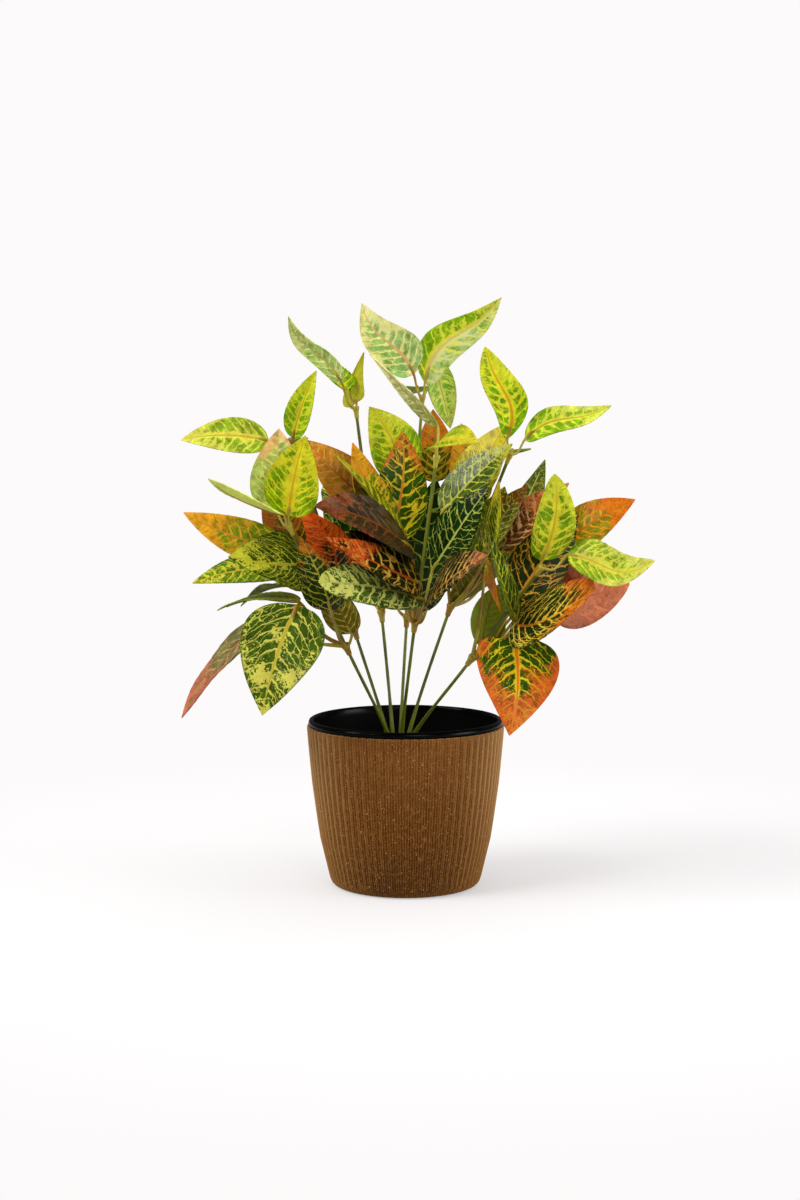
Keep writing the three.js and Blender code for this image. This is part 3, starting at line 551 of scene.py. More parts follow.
WHORLS = {
    "lower_leaves_1": (1, "lower", [
        leaf((-72, -72, 206), (-95, -98, 135), 56, (-0.1, -0.9, 0.4), "mottled", arch=7, fold=6,
             sway=1.5, wave=1.5, ends=(0.5, 1), ground="3a5408", vein="c0bc50", rib="b8a830",
             rib_wide=1.1, speckle=1.15),
        leaf((-95, -40, 195), (-152, -62, 128), 47, (-0.7, -0.25, 0.65), "salmon", fold=5, wave=1,
             ground="6a6a3c", blush="b8604a", tip=0.4),
        leaf((-73, -34, 204), (-131, -20, 197), 48, (-0.1, 0, 1), "deep", arch=6, fold=3,
             ground="7c8c1c", vein="b0b04c", gloss=0.1),
        leaf((-37, -38, 183), (-57, -44, 225), 31, (-0.5, -0.8, -0.4), "olive", arch=3, sway=3,
             ground="6c6408", vein="d0b84c", veins=0.25),
        leaf((-50, -76, 203), (-69, -98, 253), 35, (-0.4, -0.8, -0.5), "deep", sway=5, wave=1,
             ground="1a3004", vein="b0a834", blush="b05c08", tip=0.3, gloss=0.3),
    ]),
    "lower_leaves_2": (2, "lower", [
        leaf((-87, 10, 237), (-156, 2, 264), 34, (0.3, -0.8, 0.6), "flame", arch=6, fold=6, sway=-8,
             ground="6e8a08", vein="d8ac2c", rib="dc8a2a", blush="e09a18", edge=0.3, speckle=0.5),
        leaf((-80, -16, 226), (-147, -30, 217), 31, (0, -0.6, 0.8), "yellow", arch=6, fold=5,
             sway=-1, ground="5a7c04", vein="c6c43c", rib="d0b030", blush="ccc040", tip=0.1),
        leaf((-69, -30, 231), (-120, -58, 237), 60, (0.4, -0.5, 0.8), "mottled", arch=6, sway=-11,
             wave=1.5, ground="2c4404", vein="b4b42a", rib="a8a424", speckle=1.0),
        leaf((-48, -44, 224), (-72, -58, 270), 34, (-0.3, -0.8, -0.4), "ember", fold=10, sway=12,
             ground="1c1403", vein="d8a848", rib="c84808", blush="e05008", veins=0.2, speckle=0.5),
        leaf((-69, 44, 228), (-102, 46, 284), 42, (0.1, -1, 0.2), "flame", wave=1.5,
             ground="403806", vein="a8841c", rib="a8641c", blush="a8581a", tip=0.6, speckle=0.3),
        leaf((-62, 40, 204), (-120, 50, 193), 50, (-0.5, 0.1, 1), "mottled", arch=10, wave=1.5),
    ]),
    "lower_leaves_3": (3, "lower", [
        leaf((-28, 10, 274), (-70, 0, 315), 38, (0.5, -0.8, 0.4), "ember", arch=8, fold=6, sway=-8,
             ground="9c8a18", vein="e4c468", blush="b87018", tip=0.85, edge=0.2),
        leaf((-9, -6, 245), (-37, -2, 313), 31, (0.6, -0.8, 0.2), "yellow", arch=3, fold=14,
             sway=-6, ground="5a6a05", vein="c8b020", rib="e07a1a", blush="d88a1a", tip=0.4,
             halo=0.2),
        leaf((1, -14, 243), (-50, -16, 306), 38, (0.8, -0.1, 0.6), "yellow", sway=-12,
             ground="4a6404", vein="c8bc20", blush="a09a16"),
        leaf((-12, 16, 240), (-2, 24, 321), 40, (-0.1, -1, 0.1), "flame", sway=5, wave=1,
             ground="2c5004", vein="d4bc20", rib="d0862a", blush="c0601a", tip=0.3, edge=0.2,
             veins=0.27),
        leaf((-34, 62, 224), (-62, 112, 278), 50, (-0.2, 0.5, 0.9), "mottled", arch=7, wave=1.5),
        leaf((-26, 18, 228), (-46, 20, 290), 36, (0.2, -1, 0.1), "deep", arch=2, fold=6),
    ]),
    "lower_leaves_4": (4, "lower", [
        leaf((-2, 38, 287), (-26, 40, 338), 38, (0.2, -1, 0.1), "lime", arch=3, fold=6, sway=4),
        leaf((21, 60, 283), (20, 57, 336), 29, (0, -1, -0.1), "yellow", arch=2, sway=1,
             ground="4e4c04", vein="b8a01c", rib="b87c1c", blush="d0701a", tip=0.55),
        leaf((52, 40, 267), (40, 36, 326), 30, (0, -1, -0.1), "yellow", arch=3, sway=-1,
             ground="6a5402", vein="d0b42a", blush="c8861a", tip=0.6),
        leaf((-12, 86, 206), (-34, 146, 214), 52, (0, 0.1, 1), "flame", arch=9, wave=1.5),
        leaf((26, 82, 208), (62, 136, 240), 52, (0.2, 0.3, 1), "mottled", arch=8, wave=1.5),
        leaf((6, 84, 216), (10, 116, 286), 46, (0, 0.8, 0.5), "ember", arch=5, wave=1),
        leaf((8, 38, 190), (22, 35, 288), 42, (-0.1, -1, 0.1), "deep", arch=3, fold=6, wave=1),
    ]),
    "lower_leaves_5": (5, "lower", [
        leaf((12, -72, 209), (-57, -114, 225), 34, (0.5, -0.6, 0.6), "steel", arch=5, fold=4,
             wave=1, ends=(0.62, 0.55), ground="40561e", vein="c4c868", rib="a8a450", tip=0, edge=0,
             veins=0.36, speckle=0.85, gloss=0.6),
        leaf((4, -56, 242), (-60, -106, 274), 55, (0.6, -0.3, 0.7), "rose", arch=6, fold=5, sway=2,
             ground="120c02", vein="74401c", rib="8c3010", blush="8c3c20", tip=0.4, edge=0.1,
             gloss=0.7, haze=0.1),
        leaf((10, -62, 219), (-53, -112, 254), 35, (0.7, -0.5, 0.6), "flame", arch=7, fold=10,
             sway=-9, ground="161c04", vein="c89c3c", rib="b4501a", blush="cc501c", tip=0.37,
             edge=0.1, veins=0.24, speckle=0.5),
        leaf((0, -64, 214), (-38, -87, 257), 38, (0.7, -0.7, 0.3), "deep", fold=6, sway=-1,
             ground="181103", vein="6f572c", veins=0.08, net=0.3),
        leaf((18, -44, 226), (56, -66, 285), 39, (-0.7, -0.7, 0.2), "deep", sway=2, wave=1,
             ground="0e2c04", vein="a0a848", rib="b0bc54", veins=0.14, gloss=0.4),
        leaf((16, -62, 208), (53, -112, 242), 46, (-0.8, -0.2, 0.6), "flame", sway=2,
             ground="0c1402", vein="b89850", rib="c87a2a", blush="a85c44", tip=0.26, edge=0.05,
             veins=0.24),
    ]),
    "lower_leaves_6": (6, "lower", [
        leaf((25, -26, 265), (73, -34, 313), 35, (-0.6, -0.7, 0.4), "steel", arch=5, fold=6, sway=2,
             ground="38500e", vein="b0b034", blush="acac34", tip=0.3, gloss=0.6, haze=-0.2),
        leaf((40, 6, 273), (70, 6, 326), 41, (-0.6, -0.7, 0.3), "yellow", sway=4,
             ground="8c8008", vein="d0c828", blush="c8b824", tip=0.5, speckle=0.6),
        leaf((58, -50, 244), (63, -56, 288), 41, (-1, -0.2, 0.1), "yellow", arch=2, sway=16,
             ground="4c6a06", vein="dcdc3c"),
        leaf((55, -26, 241), (83, -30, 284), 30, (-0.7, -0.6, 0.4), "deep", arch=2,
             ground="60601a", vein="e8e060", blush="8a3a0c", tip=0.4, speckle=0.3),
        leaf((63, -26, 240), (112, -30, 286), 34, (-0.5, -0.7, 0.5), "rose", arch=3, fold=22,
             sway=4, ground="703c0c", vein="ecc488", rib="a05420", blush="b85c20", veins=0.3,
             speckle=0.7, gloss=0.4),
        leaf((35, -2, 201), (58, -40, 235), 29, (-0.3, 0.5, 0.8), "olive", arch=3, sway=-10,
             ground="5a560a", vein="c0ac48", veins=0.25),
        leaf((62, 26, 220), (120, 60, 246), 50, (0.1, 0.2, 1), "flame", arch=8, wave=1.5),
        leaf((62, 34, 230), (103, 78, 299), 30, (0.5, 0.6, 0.7), "mottled", arch=6, wave=1),
        leaf((31, 21, 209), (48, 19, 276), 38, (-0.2, -1, 0.1), "deep", arch=2, fold=6),
        leaf((52, 9, 221), (70, 10, 282), 36, (-0.3, -1, 0.1), "deep", arch=2, fold=5,
             ground="4a5c08", vein="c4c43c", speckle=0.7),
    ]),
    "lower_leaves_7": (7, "lower", [
        leaf((72, -78, 185), (68, -108, 123), 56, (0.1, -0.9, 0.4), "flame", arch=5, fold=5,
             sway=-3.5, wave=1, ends=(0.36, 1), ground="2c4a08", vein="ccb81c", rib="e0701c",
             blush="c4541e", tip=0.52, edge=0.5, speckle=0.6, halo=0.1),
        leaf((72, -76, 195), (123, -116, 221), 58, (-0.6, -0.3, 0.7), "flame", arch=5, sway=22,
             ends=(0.6, 0.55), ground="142c04", vein="ccac3c", rib="d8741a", blush="c05410",
             tip=0.29, edge=0.12, speckle=0.6),
        leaf((95, -50, 211), (150, -72, 220), 49, (-0.4, -0.8, 0.5), "salmon", arch=6, fold=5,
             sway=8, ends=(0.5, 0.7), ground="a04c28", vein="cc6434", rib="d4622a", blush="d07c5c",
             veins=0.3, speckle=0.7),
        leaf((74, -60, 207), (116, -61, 266), 42, (-0.4, -0.9, 0.3), "deep", arch=3, fold=6, wave=1,
             ground="1c3006", vein="d0982c", rib="d8882a", blush="a86a1c", veins=0.19, speckle=0.3,
             gloss=0.12),
        leaf((106, -30, 241), (157, -36, 275), 37, (-0.5, -0.7, 0.5), "flame", arch=5, fold=5,
             sway=0.5, ground="7c7c0a", vein="dc9410", rib="c4640c", blush="c85c0c", edge=0.1,
             speckle=0.7, gloss=0.1),
        leaf((73, -92, 197), (54, -99, 256), 40, (0.9, -0.3, 0.3), "deep", arch=3, sway=-14,
             ground="25400a", vein="a4aa2c", rib="98a028", veins=0.26),
        leaf((52, -50, 174), (65, -54, 219), 38, (0.75, 0.6, -0.2), "olive", arch=2, sway=7,
             ground="7c8c18", vein="c8c848"),
        leaf((54, -68, 231), (63, -88, 203), 26, (-1, -0.2, -0.2), "ember", arch=2, sway=-15,
             ground="bc9610", vein="f0a824", rib="d08018", blush="f08824", tip=0.7),
        leaf((88, -30, 186), (132, 22, 192), 46, (0.2, 0.1, 1), "mottled", arch=8, wave=1.5),
    ]),
    "upper_leaves_1": (1, "upper", [
        leaf((-77, -98, 267), (-65, -112, 320), 37, (-0.2, -1, -0.2), "lime", arch=3, sway=-1,
             ground="6e9a04", vein="d4cc24", rib="dca020", blush="ccc824", halo=0.34),
        leaf((-84, -88, 268), (-84, -80, 324), 37, (-0.2, -1, 0.1), "pale", arch=3, fold=6,
             ground="98ac54", vein="ccc868", rib="dcac60", blush="d8a468", tip=0.2),
        leaf((-80, -100, 268), (-128, -112, 292), 20, (0.5, 0.2, 0.9), "lime", arch=-3, fold=12,
             ess=-3, twist=50, ground="dcec70", vein="dce468", blush="d4dc7c"),
    ]),
    "upper_leaves_2": (2, "upper", [
        leaf((-96, 8, 314), (-157, 0, 315), 28, (0.1, -0.9, 0.5), "lime", fold=5, sway=2,
             ground="84a420", vein="d4d44c", rib="d4a828", blush="d4d454"),
        leaf((-79, 6, 316), (-62, -6, 363), 21, (-0.5, -0.9, -0.1), "lime", arch=3, fold=14,
             ground="6c9c04", vein="c4c828", rib="c89c1c", blush="bcc424"),
        leaf((-82, 22, 315), (-84, 68, 311), 26, (0, 0.1, 1), "lime", arch=1, fold=4),
    ]),
    "upper_leaves_3": (3, "upper", [
        leaf((-45, 22, 355), (-82, 10, 401), 19, (-0.4, -0.7, -0.5), "pale", arch=-3, sway=-5,
             ess=3.5, ground="a8cc60", vein="f0f4a8", rib="c8bc60", blush="e4ec90", haze=0.25),
        leaf((-35, 34, 341), (-30, 56, 377), 28, (0.8, 0.4, -0.4), "olive", arch=3, fold=10,
             sway=17, ground="a8a820", vein="c8b838", rib="b09428"),
        leaf((-44, 36, 350), (-70, 74, 376), 32, (-0.3, 0.6, 0.8), "lime"),
    ]),
    "upper_leaves_4": (4, "upper", [
        leaf((6, 42, 361), (-31, 30, 411), 33, (0.3, -1, 0), "pale", arch=3, fold=5, sway=-2.5,
             ess=3, ground="8cb860", vein="e8e48c", rib="e0b070", blush="e4e08c", haze=0.3),
        leaf((14, 42, 355), (68, 30, 415), 29, (-0.2, -1, 0), "lime", arch=-3, fold=12, sway=-6,
             ess=-4, ends=(0.5, 1), ground="7cac04", vein="d8d844", rib="dcc078", blush="d4d84c",
             edge=0.3, haze=0.8),
        leaf((20, 54, 371), (33, 70, 322), 23, (0.5, -0.9, -0.1), "lime", arch=5, sway=2,
             ground="7cac30", vein="c8d45c", rib="b8ac48", blush="bcc85a"),
        leaf((9, 60, 352), (4, 110, 347), 30, (0, 0.1, 1), "lime", arch=1, fold=4),
    ]),
    "upper_leaves_5": (5, "upper", [
        leaf((21, -72, 326), (-24, -60, 373), 19, (-0.7, -0.4, -0.6), "pale", arch=3, sway=7,
             ends=(0.5, 1.4), ground="a0b060", vein="e0e0a4", rib="c8b060", blush="dcd898"),
        leaf((20, -80, 313), (47, -112, 315), 31, (-0.4, -0.3, 0.9), "lime", arch=5, sway=2,
             ground="6c9406", vein="c0b824", rib="d0a020", blush="c8bc28"),
    ]),
    "upper_leaves_6": (6, "upper", [
        leaf((70, -22, 316), (54, -30, 379), 26, (0.2, -1, -0.1), "lime", arch=3, fold=12, sway=5,
             ess=3, ends=(0.7, 0.85), ground="6ca404", vein="d8d828", rib="d8a41c", rib_wide=1.3,
             halo=0.34),
        leaf((82, -26, 316), (140, -36, 339), 22, (-0.3, -0.8, 0.5), "lime", arch=-3, fold=10,
             sway=-5, ess=-3, ground="74a006", vein="c8d03c", rib="c0981c", blush="ccd450"),
        leaf((74, -8, 308), (78, 42, 304), 26, (0, 0.1, 1), "lime", arch=1, fold=4),
    ]),
    "upper_leaves_7": (7, "upper", [
        leaf((89, -98, 238), (97, -104, 295), 28, (0.1, -1, -0.1), "lime", fold=14, sway=4,
             ends=(0.45, 0.7), ground="64880a", vein="c8c42c", rib="c8a828", blush="bcc430"),
        leaf((106, -102, 242), (161, -118, 239), 33, (-0.2, -0.7, 0.7), "lime", fold=10, sway=12,
             ess=-4, ends=(0.55, 0.8), ground="6c9010", vein="bcbc3c", rib="c09c34", blush="c4c458"),
    ]),
}


def print_material():
    """The print, laid out by LeafUV (across, along) and LeafSize (off the midrib, in lengths)."""
    shader = Shader("printed_blade")
    across, along, _ = shader.split(shader.node("UVMap", uv_map="LeafUV"))
    side, _, _ = shader.split(shader.node("UVMap", uv_map="LeafSize"))

    def marked(name):
        colour = shader.node("Attribute", attribute_name=name, out="Color")
        alpha = Value(shader, colour.socket.node.outputs["Alpha"])
        return colour, alpha, shader.split(colour, "SeparateColor")

    ground, _, _ = marked("Ground")
    vein_colour, gloss, _ = marked("Vein")
    rib_colour, rib_wide, _ = marked("Rib")
    blush, edge_flood, _ = marked("Blush")
    _, net, (tip, veins, speckle) = marked("Print")
    _, haze, (seed, under, halo) = marked("Mark")

    apart = seed * 37.0
    flat = shader.vector(side, along, apart)
    drift = shader.noise(flat, 5.0, 3.0, 0.6) - 0.5
    drift_fine = shader.noise(flat, 16.0, 3.0, 0.6) - 0.5
    grains = shader.noise(flat, 44.0, 4.0, 0.62)
    frayed = grains - 0.5
    reach = abs(side)
    edge = abs(across)

    # Lateral veins leave the midrib by turns, left and right, and bend towards the tip
    slant = reach * VEIN_SLANT + reach * reach * VEIN_BEND
    shift = shader.calc("GREATER_THAN", side, 0.0) * VEIN_SHIFT + apart
    row = (along - slant) * VEIN_ROWS + shift + drift + drift_fine * 0.55
    off = abs(shader.calc("FRACT", row) - 0.5)
    half_vein = veins * (drift * 1.9 + 0.55 + frayed * 1.1) * (1.15 - edge * 0.75)
    lateral = 1.0 - shader.step(off, half_vein * 0.6, half_vein)

    # A net of small veins joins them outwards
    knots = shader.vector(side * 1.1, row / VEIN_ROWS, apart)
    jolt = shader.vector(drift_fine * 0.07, drift * 0.06)
    knots = shader.node("VectorMath", knots, jolt, operation="ADD")
    gaps = shader.node("TexVoronoi", knots, 0.0, 10.0, feature="DISTANCE_TO_EDGE")
    wide = veins * (drift_fine * 0.35 + 0.2)
    patchy = shader.step(drift + net * 0.5, 0.1, 0.35) * shader.step(edge, 0.12, 0.4)
    strand = (1.0 - shader.step(gaps, wide * 0.4, wide)) * patchy

    # Blotches and speckles of the vein colour gather in clouds, more of them towards the tip
    cloud = shader.noise(shader.vector(side, along, apart + 5.0), 4.2, 2.0)
    thick = shader.step(cloud * 0.9 + along * 0.32, 0.42, 0.95) * speckle
    level = 0.72 - thick * 0.4
    shore = 0.76 - thick * 0.38
    islands = shader.step(shader.noise(flat, 11.0, 7.0, 0.72), shore, shore + 0.035)
    spots = shader.calc("MAXIMUM", shader.step(grains, level, level + 0.05), islands)
    spots = spots * shader.step(thick, 0.02, 0.1)

    # A light band lies along the midrib, and the outermost edge is nearly bare
    wide = halo * (drift_fine * 3.0 + 1.0)
    yellow = 1.0 - shader.step(edge, wide * 0.5, wide)
    for mark in (lateral, strand, spots):
        yellow = shader.calc("MAXIMUM", yellow, mark)
    yellow = yellow * (1.0 - shader.step(edge, 0.9, 0.99) * 0.6)
    lights = shader.step(shader.noise(flat, 9.0, 4.0, 0.65), 0.3, 0.7)
    tone = shader.mix(lights, (0.68, 0.66, 0.6, 1), (1.45, 1.42, 1.3, 1))
    vein_tone = shader.mix(lights, (0.92, 0.88, 0.8, 1), (1.25, 1.25, 1.15, 1))
    lively = shader.mix(1.0, ground, tone, "MULTIPLY")
    veined = shader.mix(1.0, vein_colour, vein_tone, "MULTIPLY")

    # The warm colour floods in from the tip and the edge, and leaves flecks of the ground
    flood = along + edge ** 1.6 * edge_flood + drift * 1.1 + frayed * 0.5
    from_tip = 1.12 - tip
    warm = shader.step(flood, from_tip - 0.1, from_tip + 0.14)
    dash_at = shader.vector(reach * 2.2, row * 1.1, apart)
    dash = shader.step(shader.noise(dash_at, 4.0, 4.0, 0.6), 0.53, 0.62)
    warm_ground = shader.mix(1.0, blush, tone, "MULTIPLY")
    lively = shader.mix(warm * (1.0 - dash * 0.8), lively, warm_ground)
    veined = shader.mix(warm * 0.85, veined, shader.mix(0.8, veined, blush))
    colour = shader.mix(yellow, lively, veined)

    # The midrib thins towards the tip; a painted gloss reflection pales one half of some blades
    rib_half = (1.12 - along) * 0.02 * (rib_wide + drift_fine * 1.2)
    rib = 1.0 - shader.step(reach, rib_half * 0.55, rib_half)
    colour = shader.mix(rib, colour, rib_colour)
    half = shader.step(shader.calc("SIGN", haze) * across, 0.0, 0.12)
    colour = shader.stain(colour, half * abs(haze) * lights, "c4c89c")

    # The underside is lighter, with the print faint on it, and less glossy
    back = shader.mix(0.35, shader.mix(1.0, ground, UNDERSIDE_LEAST, "LIGHTEN"), colour)
    under = shader.step(under, 0.8, 1.0)
    shader.bump(lateral * 0.5 + rib * 0.8, 0.0002, 0.5)
    return shader.finish(
        Base_Color=shader.mix(under, colour, back),
        Roughness=0.52 - gloss * 0.26 + under * 0.12,
        Specular_IOR_Level=0.05,
        Coat_Weight=gloss * (0.45 - under * 0.35),
        Coat_Roughness=0.22,
    )


def fitting_material():
    shader = Shader("moulded_fitting")
    place = shader.place()
    patch = shader.noise(place, 60.0, 3.0)
    base = shader.mix(shader.step(patch, 0.35, 0.65), paint("a8981c"), paint("986418"))
    base = shader.stain(base, shader.step(shader.noise(place, 22.0, 2.0), 0.5, 0.66), "bcb43c")
    shader.bump(patch, 0.0004, 0.5)
    return shader.finish(Base_Color=base, Roughness=0.36)


def outline_at(along, ends):
    """The blade's width at a share of its length, as a share of the widest."""
    rise, fall = ends
    widest = rise / (rise + fall)
    return along ** rise * (1 - along) ** fall / (widest ** rise * (1 - widest) ** fall)


def station(shape, along):
    """The midrib's point and the blade's two cross directions at a share of its length."""
    span = shape["end"] - shape["start"]
    axis = span.normalized()
    up = (shape["face"] - axis * shape["face"].dot(axis)).normalized()
    side = axis.cross(up)
    hump = 4 * along * (1 - along)
    bend = shape["sway"] * hump + shape["ess"] * math.sin(2 * math.pi * along)
    centre = shape["start"] + span * along + up * shape["arch"] * hump + side * bend
    twist = math.radians(shape["twist"]) * (along - BLADE_TWIST_FROM)
    turn = Matrix.Rotation(twist, 3, axis)
    return centre, turn @ side, turn @ up


def blade_spot(shape, along, across):
    """A point of the blade's middle surface, its up direction and its distance off the midrib."""
    centre, side, up = station(shape, along)
    inside = min(max(along, 1e-6), 1 - 1e-6)
    least = BLADE_ROOT_HALF if along < 0.5 else BLADE_TIP_HALF
    half = max(shape["wide"] / 2 * outline_at(inside, shape["ends"]), least)
    off = abs(across) * half
    reach = off / (shape["end"] - shape["start"]).length
    fold = math.radians(shape["fold"])
    hump = 4 * along * (1 - along)
    right = across > 0
    phase = EDGE_RIPPLE * along + (0 if right else EDGE_RIPPLE_SHIFT)
    ripple = shape["wave"] * across ** 2 * math.sin(phase) * hump
    groove = RIB_GROOVE * math.exp(-((off / RIB_GROOVE_WIDE) ** 2)) * min(1, 8 * (1 - along))
    rows = VEIN_ROWS * (along - VEIN_SLANT * reach - VEIN_BEND * reach ** 2) + VEIN_SHIFT * right
    quilt = VEIN_QUILT * math.cos(2 * math.pi * rows) * min(1, off / VEIN_QUILT_FROM) * hump
    spot = centre + side * across * half * math.cos(fold)
    spot += up * (off * math.sin(fold) + ripple - groove + quilt)
    return spot, up, across * half


def add_blade(bm, shape, seed):
    """A grid bent to the blade's form, thickened, and marked with what is printed on it."""
    uv = bm.loops.layers.uv["LeafUV"]
    uv_size = bm.loops.layers.uv["LeafSize"]
    where = bm.verts.layers.float_vector["spot"]
    grid = bmesh.ops.create_grid(bm, x_segments=BLADE_COLUMNS, y_segments=BLADE_ROWS, size=0.5)
    made = grid["verts"]
    for vert in made:
        across, along = 2 * vert.co.x, vert.co.y + 0.5
        vert[where] = (across, along, 0)
        spot, up, _ = blade_spot(shape, along, across)
        vert.co = (spot + up * BLADE_THICK / 2) * MM

    # The faces turn to the blade's upper side, and the thickness grows under them
    faces = list({face for vert in made for face in vert.link_faces})
    middle = faces[len(faces) // 2]
    middle.normal_update()
    across, along, _ = middle.verts[0][where]
    if middle.normal.dot(station(shape, along)[2]) < 0:
        bmesh.ops.reverse_faces(bm, faces=faces)
    for face in faces:
        face.normal_update()
    top = set(made)
    before = set(bm.faces) - set(faces)
    bmesh.ops.solidify(bm, geom=faces, thickness=BLADE_THICK * MM)
    new_faces = [face for face in bm.faces if face not in before]

    look = shape["look"]
    layers = bm.verts.layers.float_color
    marks = {
        layers["Ground"]: paint(look["ground"]),
        layers["Vein"]: paint(look["vein"], look["gloss"]),
        layers["Rib"]: paint(look["rib"], look["rib_wide"]),
        layers["Blush"]: paint(look["blush"], look["edge"]),
        layers["Print"]: (look["tip"], look["veins"], look["speckle"], look["net"]),
    }
    length = (shape["end"] - shape["start"]).length
    for vert in {vert for face in new_faces for vert in face.verts}:
        for layer, value in marks.items():
            vert[layer] = value
        underside = 0.0 if vert in top else 1.0
        vert[layers["Mark"]] = (seed, underside, look["halo"], look["haze"])
    for face in new_faces:
        for loop in face.loops:
            across, along, _ = loop.vert[where]
            loop[uv].uv = (across, along)
            loop[uv_size].uv = (blade_spot(shape, along, across)[2] / length, along)


def stem_heading(stem, kind):
    """The way that a stem's wire runs through its lower or its upper socket."""
    _, collar, lower, upper = STEM_PATHS[stem]
    return (upper - (lower if kind == "upper" else collar)).normalized()


def add_socket(bm, middle, heading, radius):
    """A moulded socket: a turned sleeve that widens upwards like a funnel."""
    points = [
        bm.verts.new((share * radius * MM, 0, up * SOCKET_HEIGHT * MM))
        for share, up in SOCKET_OUTLINE
    ]
    edges = [bm.edges.new(pair) for pair in zip(points, [*points[1:], points[0]])]
    before = set(bm.faces)
    bmesh.ops.spin(
        bm, geom=points + edges, cent=(0, 0, 0), axis=(0, 0, 1), angle=2 * math.pi,
        steps=SOCKET_SIDES, use_merge=True,
    )
    faces = [face for face in bm.faces if face not in before]
    bmesh.ops.recalc_face_normals(bm, faces=faces)
    verts = list({vert for face in faces for vert in face.verts})
    turn = heading.to_track_quat("Z", "Y").to_matrix().to_4x4()
    bmesh.ops.transform(bm, matrix=Matrix.Translation(middle * MM) @ turn, verts=verts)
    for face in faces:
        face.material_index = 1


printed_blade = print_material()
moulded_fitting = fitting_material()
leaf_count = 0
for node, (stem, kind, shapes) in WHORLS.items():
    bm = bmesh.new()
    for name in ("LeafUV", "LeafSize"):
        bm.loops.layers.uv.new(name)
    for name in ("Ground", "Vein", "Rib", "Blush", "Print", "Mark"):
        bm.verts.layers.float_color.new(name)
    bm.verts.layers.float_vector.new("spot")
    middle = Vector(SEATS[stem][kind == "upper"])
    heading = stem_heading(stem, kind)
    add_socket(bm, middle, heading, SOCKET_RADIUS[kind])
    thick = PETIOLE_RADIUS[kind]
    start = middle + heading * SOCKET_HEIGHT * PETIOLE_ROOT
    for shape in shapes:
        leaf_count += 1
        end = shape["start"]
        out = start.lerp(end, PETIOLE_LOW)
        out.z -= min(PETIOLE_SAG * (end - start).length, PETIOLE_SAG_MOST)
        meets = station(shape, PETIOLE_MEETS)[0]
        path = smooth_path([start, out, end, meets], PETIOLE_STEPS)
        radii = [
            thick * (PETIOLE_END - PETIOLE_WAIST * math.sin(math.pi * min(1, step / PETIOLE_FULL)))
            for step in range(PETIOLE_STEPS + 1)
        ]
        for share in [step / SPINE_STEPS for step in range(SPINE_STEPS + 1)]:
            centre, _, up = station(shape, SPINE_FROM + SPINE_LENGTH * share)
            path.append(centre - up * SPINE_UNDER)
            radii.append(thick * (SPINE_ROOT - SPINE_THINS * share))
        add_tube(bm, path, radii, PETIOLE_SIDES, material=1)
        add_blade(bm, shape, leaf_count * SEED_STEP % 1)
    whorl = piece(node.replace("leaves", "whorl"), bm, printed_blade, moulded_fitting)
    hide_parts(node)
    kind + "_leaf"

# ---------------------------------------------------------------------------------------------
# The room: a plain pale floor in a white room. A broad soft light comes from the upper left,
# with two weak lamps in front and at the right, and the camera stands a little above the pot.
# ---------------------------------------------------------------------------------------------
WHITE = (0.975, 0.955, 0.955, 1)
BLACK = (0, 0, 0, 1)
FLOOR_HALF = 30
FLOOR_SHADE = (0.5, 0.5, 0.5, 1)
FLOOR_GLOW = (0.42, 0.41, 0.41, 1)
FLOOR_NEAR, FLOOR_FAR = 0.2, 0.6
SKY_FROM_BACK, SKY_FROM_SIDES = 0.4, 0.6
SKY_DARK_AT, SKY_FULL_AT = -0.35, 1.0
SKY_LEAST, SKY_MOST = 0.1, 0.85
SKY_DULL_IN_GLOSS = 0.88
LAMPS = {  # kind, place, aim, size, strength
    "key": ("SUN", (-1.6, -0.75, 1.35), (0, 0, 0), math.radians(34), 2.0),
    "front": ("AREA", (0.5, -1.9, 1.0), (0, 0, 0.2), 0.9, 7),
    "right": ("AREA", (1.3, -0.45, 0.3), (0, 0, 0.08), 0.7, 7),
}
CAMERA_AT = (-0.0039, -1.5, 0.344)
CAMERA_DOWN = math.radians(5.388)
CAMERA_LENS = 64.2
CAMERA_SENSOR = 36
CAMERA_REACH = 200

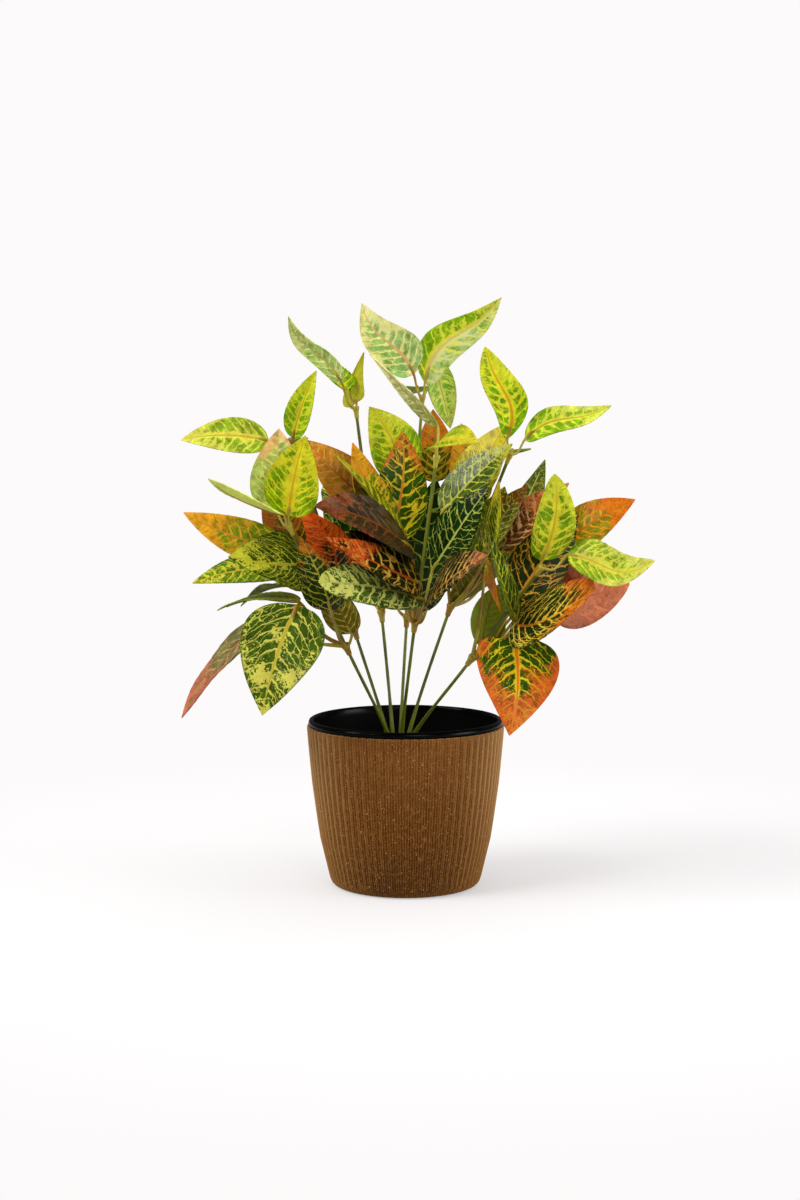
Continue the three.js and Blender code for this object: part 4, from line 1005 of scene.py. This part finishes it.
bm = bmesh.new()
bmesh.ops.create_grid(bm, x_segments=1, y_segments=1, size=FLOOR_HALF)
floor_mesh = bpy.data.meshes.new("floor")
bm.to_mesh(floor_mesh)
bm.free()
floor = bpy.data.objects.new("floor", floor_mesh)
bpy.context.scene.collection.objects.link(floor)
pale = Shader("pale_floor")
seen = pale.node("LightPath", out="Is Camera Ray")
away = pale.node("VectorMath", pale.place(), operation="LENGTH", out="Value")
near = 1.0 - pale.step(away, FLOOR_NEAR, FLOOR_FAR)
floor_mesh.materials.append(pale.finish(
    Base_Color=pale.mix(seen, FLOOR_GLOW, pale.mix(near, BLACK, FLOOR_SHADE)),
    Roughness=1.0,
    Specular_IOR_Level=0.0,
    Emission_Color=pale.mix(near, WHITE, FLOOR_GLOW),
    Emission_Strength=seen,
))

# White behind, above and at both sides, dim from the front; the camera itself sees plain white
sky = Shader("room", "worlds", "Background")
x, y, z = sky.split(sky.node("TexCoord", out="Generated"))
spread = y * SKY_FROM_BACK + z + abs(x) * SKY_FROM_SIDES
bright = sky.step(spread, SKY_DARK_AT, SKY_FULL_AT, SKY_LEAST, SKY_MOST)
bright = bright * (1.0 - sky.node("LightPath", out="Is Glossy Ray") * SKY_DULL_IN_GLOSS)
shown = sky.calc("MAXIMUM", bright, sky.node("LightPath", out="Is Camera Ray"))
bpy.context.scene.world = sky.finish(Color=WHITE, Strength=shown)

for name, (kind, at, aim, size, strength) in LAMPS.items():
    data = bpy.data.lights.new(name, kind)
    data.energy = strength
    if kind == "SUN":
        data.angle = size
    else:
        data.shape = "DISK"
        data.size = size
    light = bpy.data.objects.new(name, data)
    light.location = at
    light.rotation_euler = (Vector(aim) - Vector(at)).to_track_quat("-Z", "Y").to_euler()
    bpy.context.scene.collection.objects.link(light)

camera_data = bpy.data.cameras.new("camera")
camera_data.lens = CAMERA_LENS
camera_data.sensor_width = CAMERA_SENSOR
camera_data.clip_end = CAMERA_REACH
camera = bpy.data.objects.new("camera", camera_data)
camera.location = CAMERA_AT
camera.rotation_euler = (math.radians(90) - CAMERA_DOWN, 0, 0)
bpy.context.scene.collection.objects.link(camera)
bpy.context.scene.camera = camera
bpy.context.scene.view_settings.view_transform = "Standard"
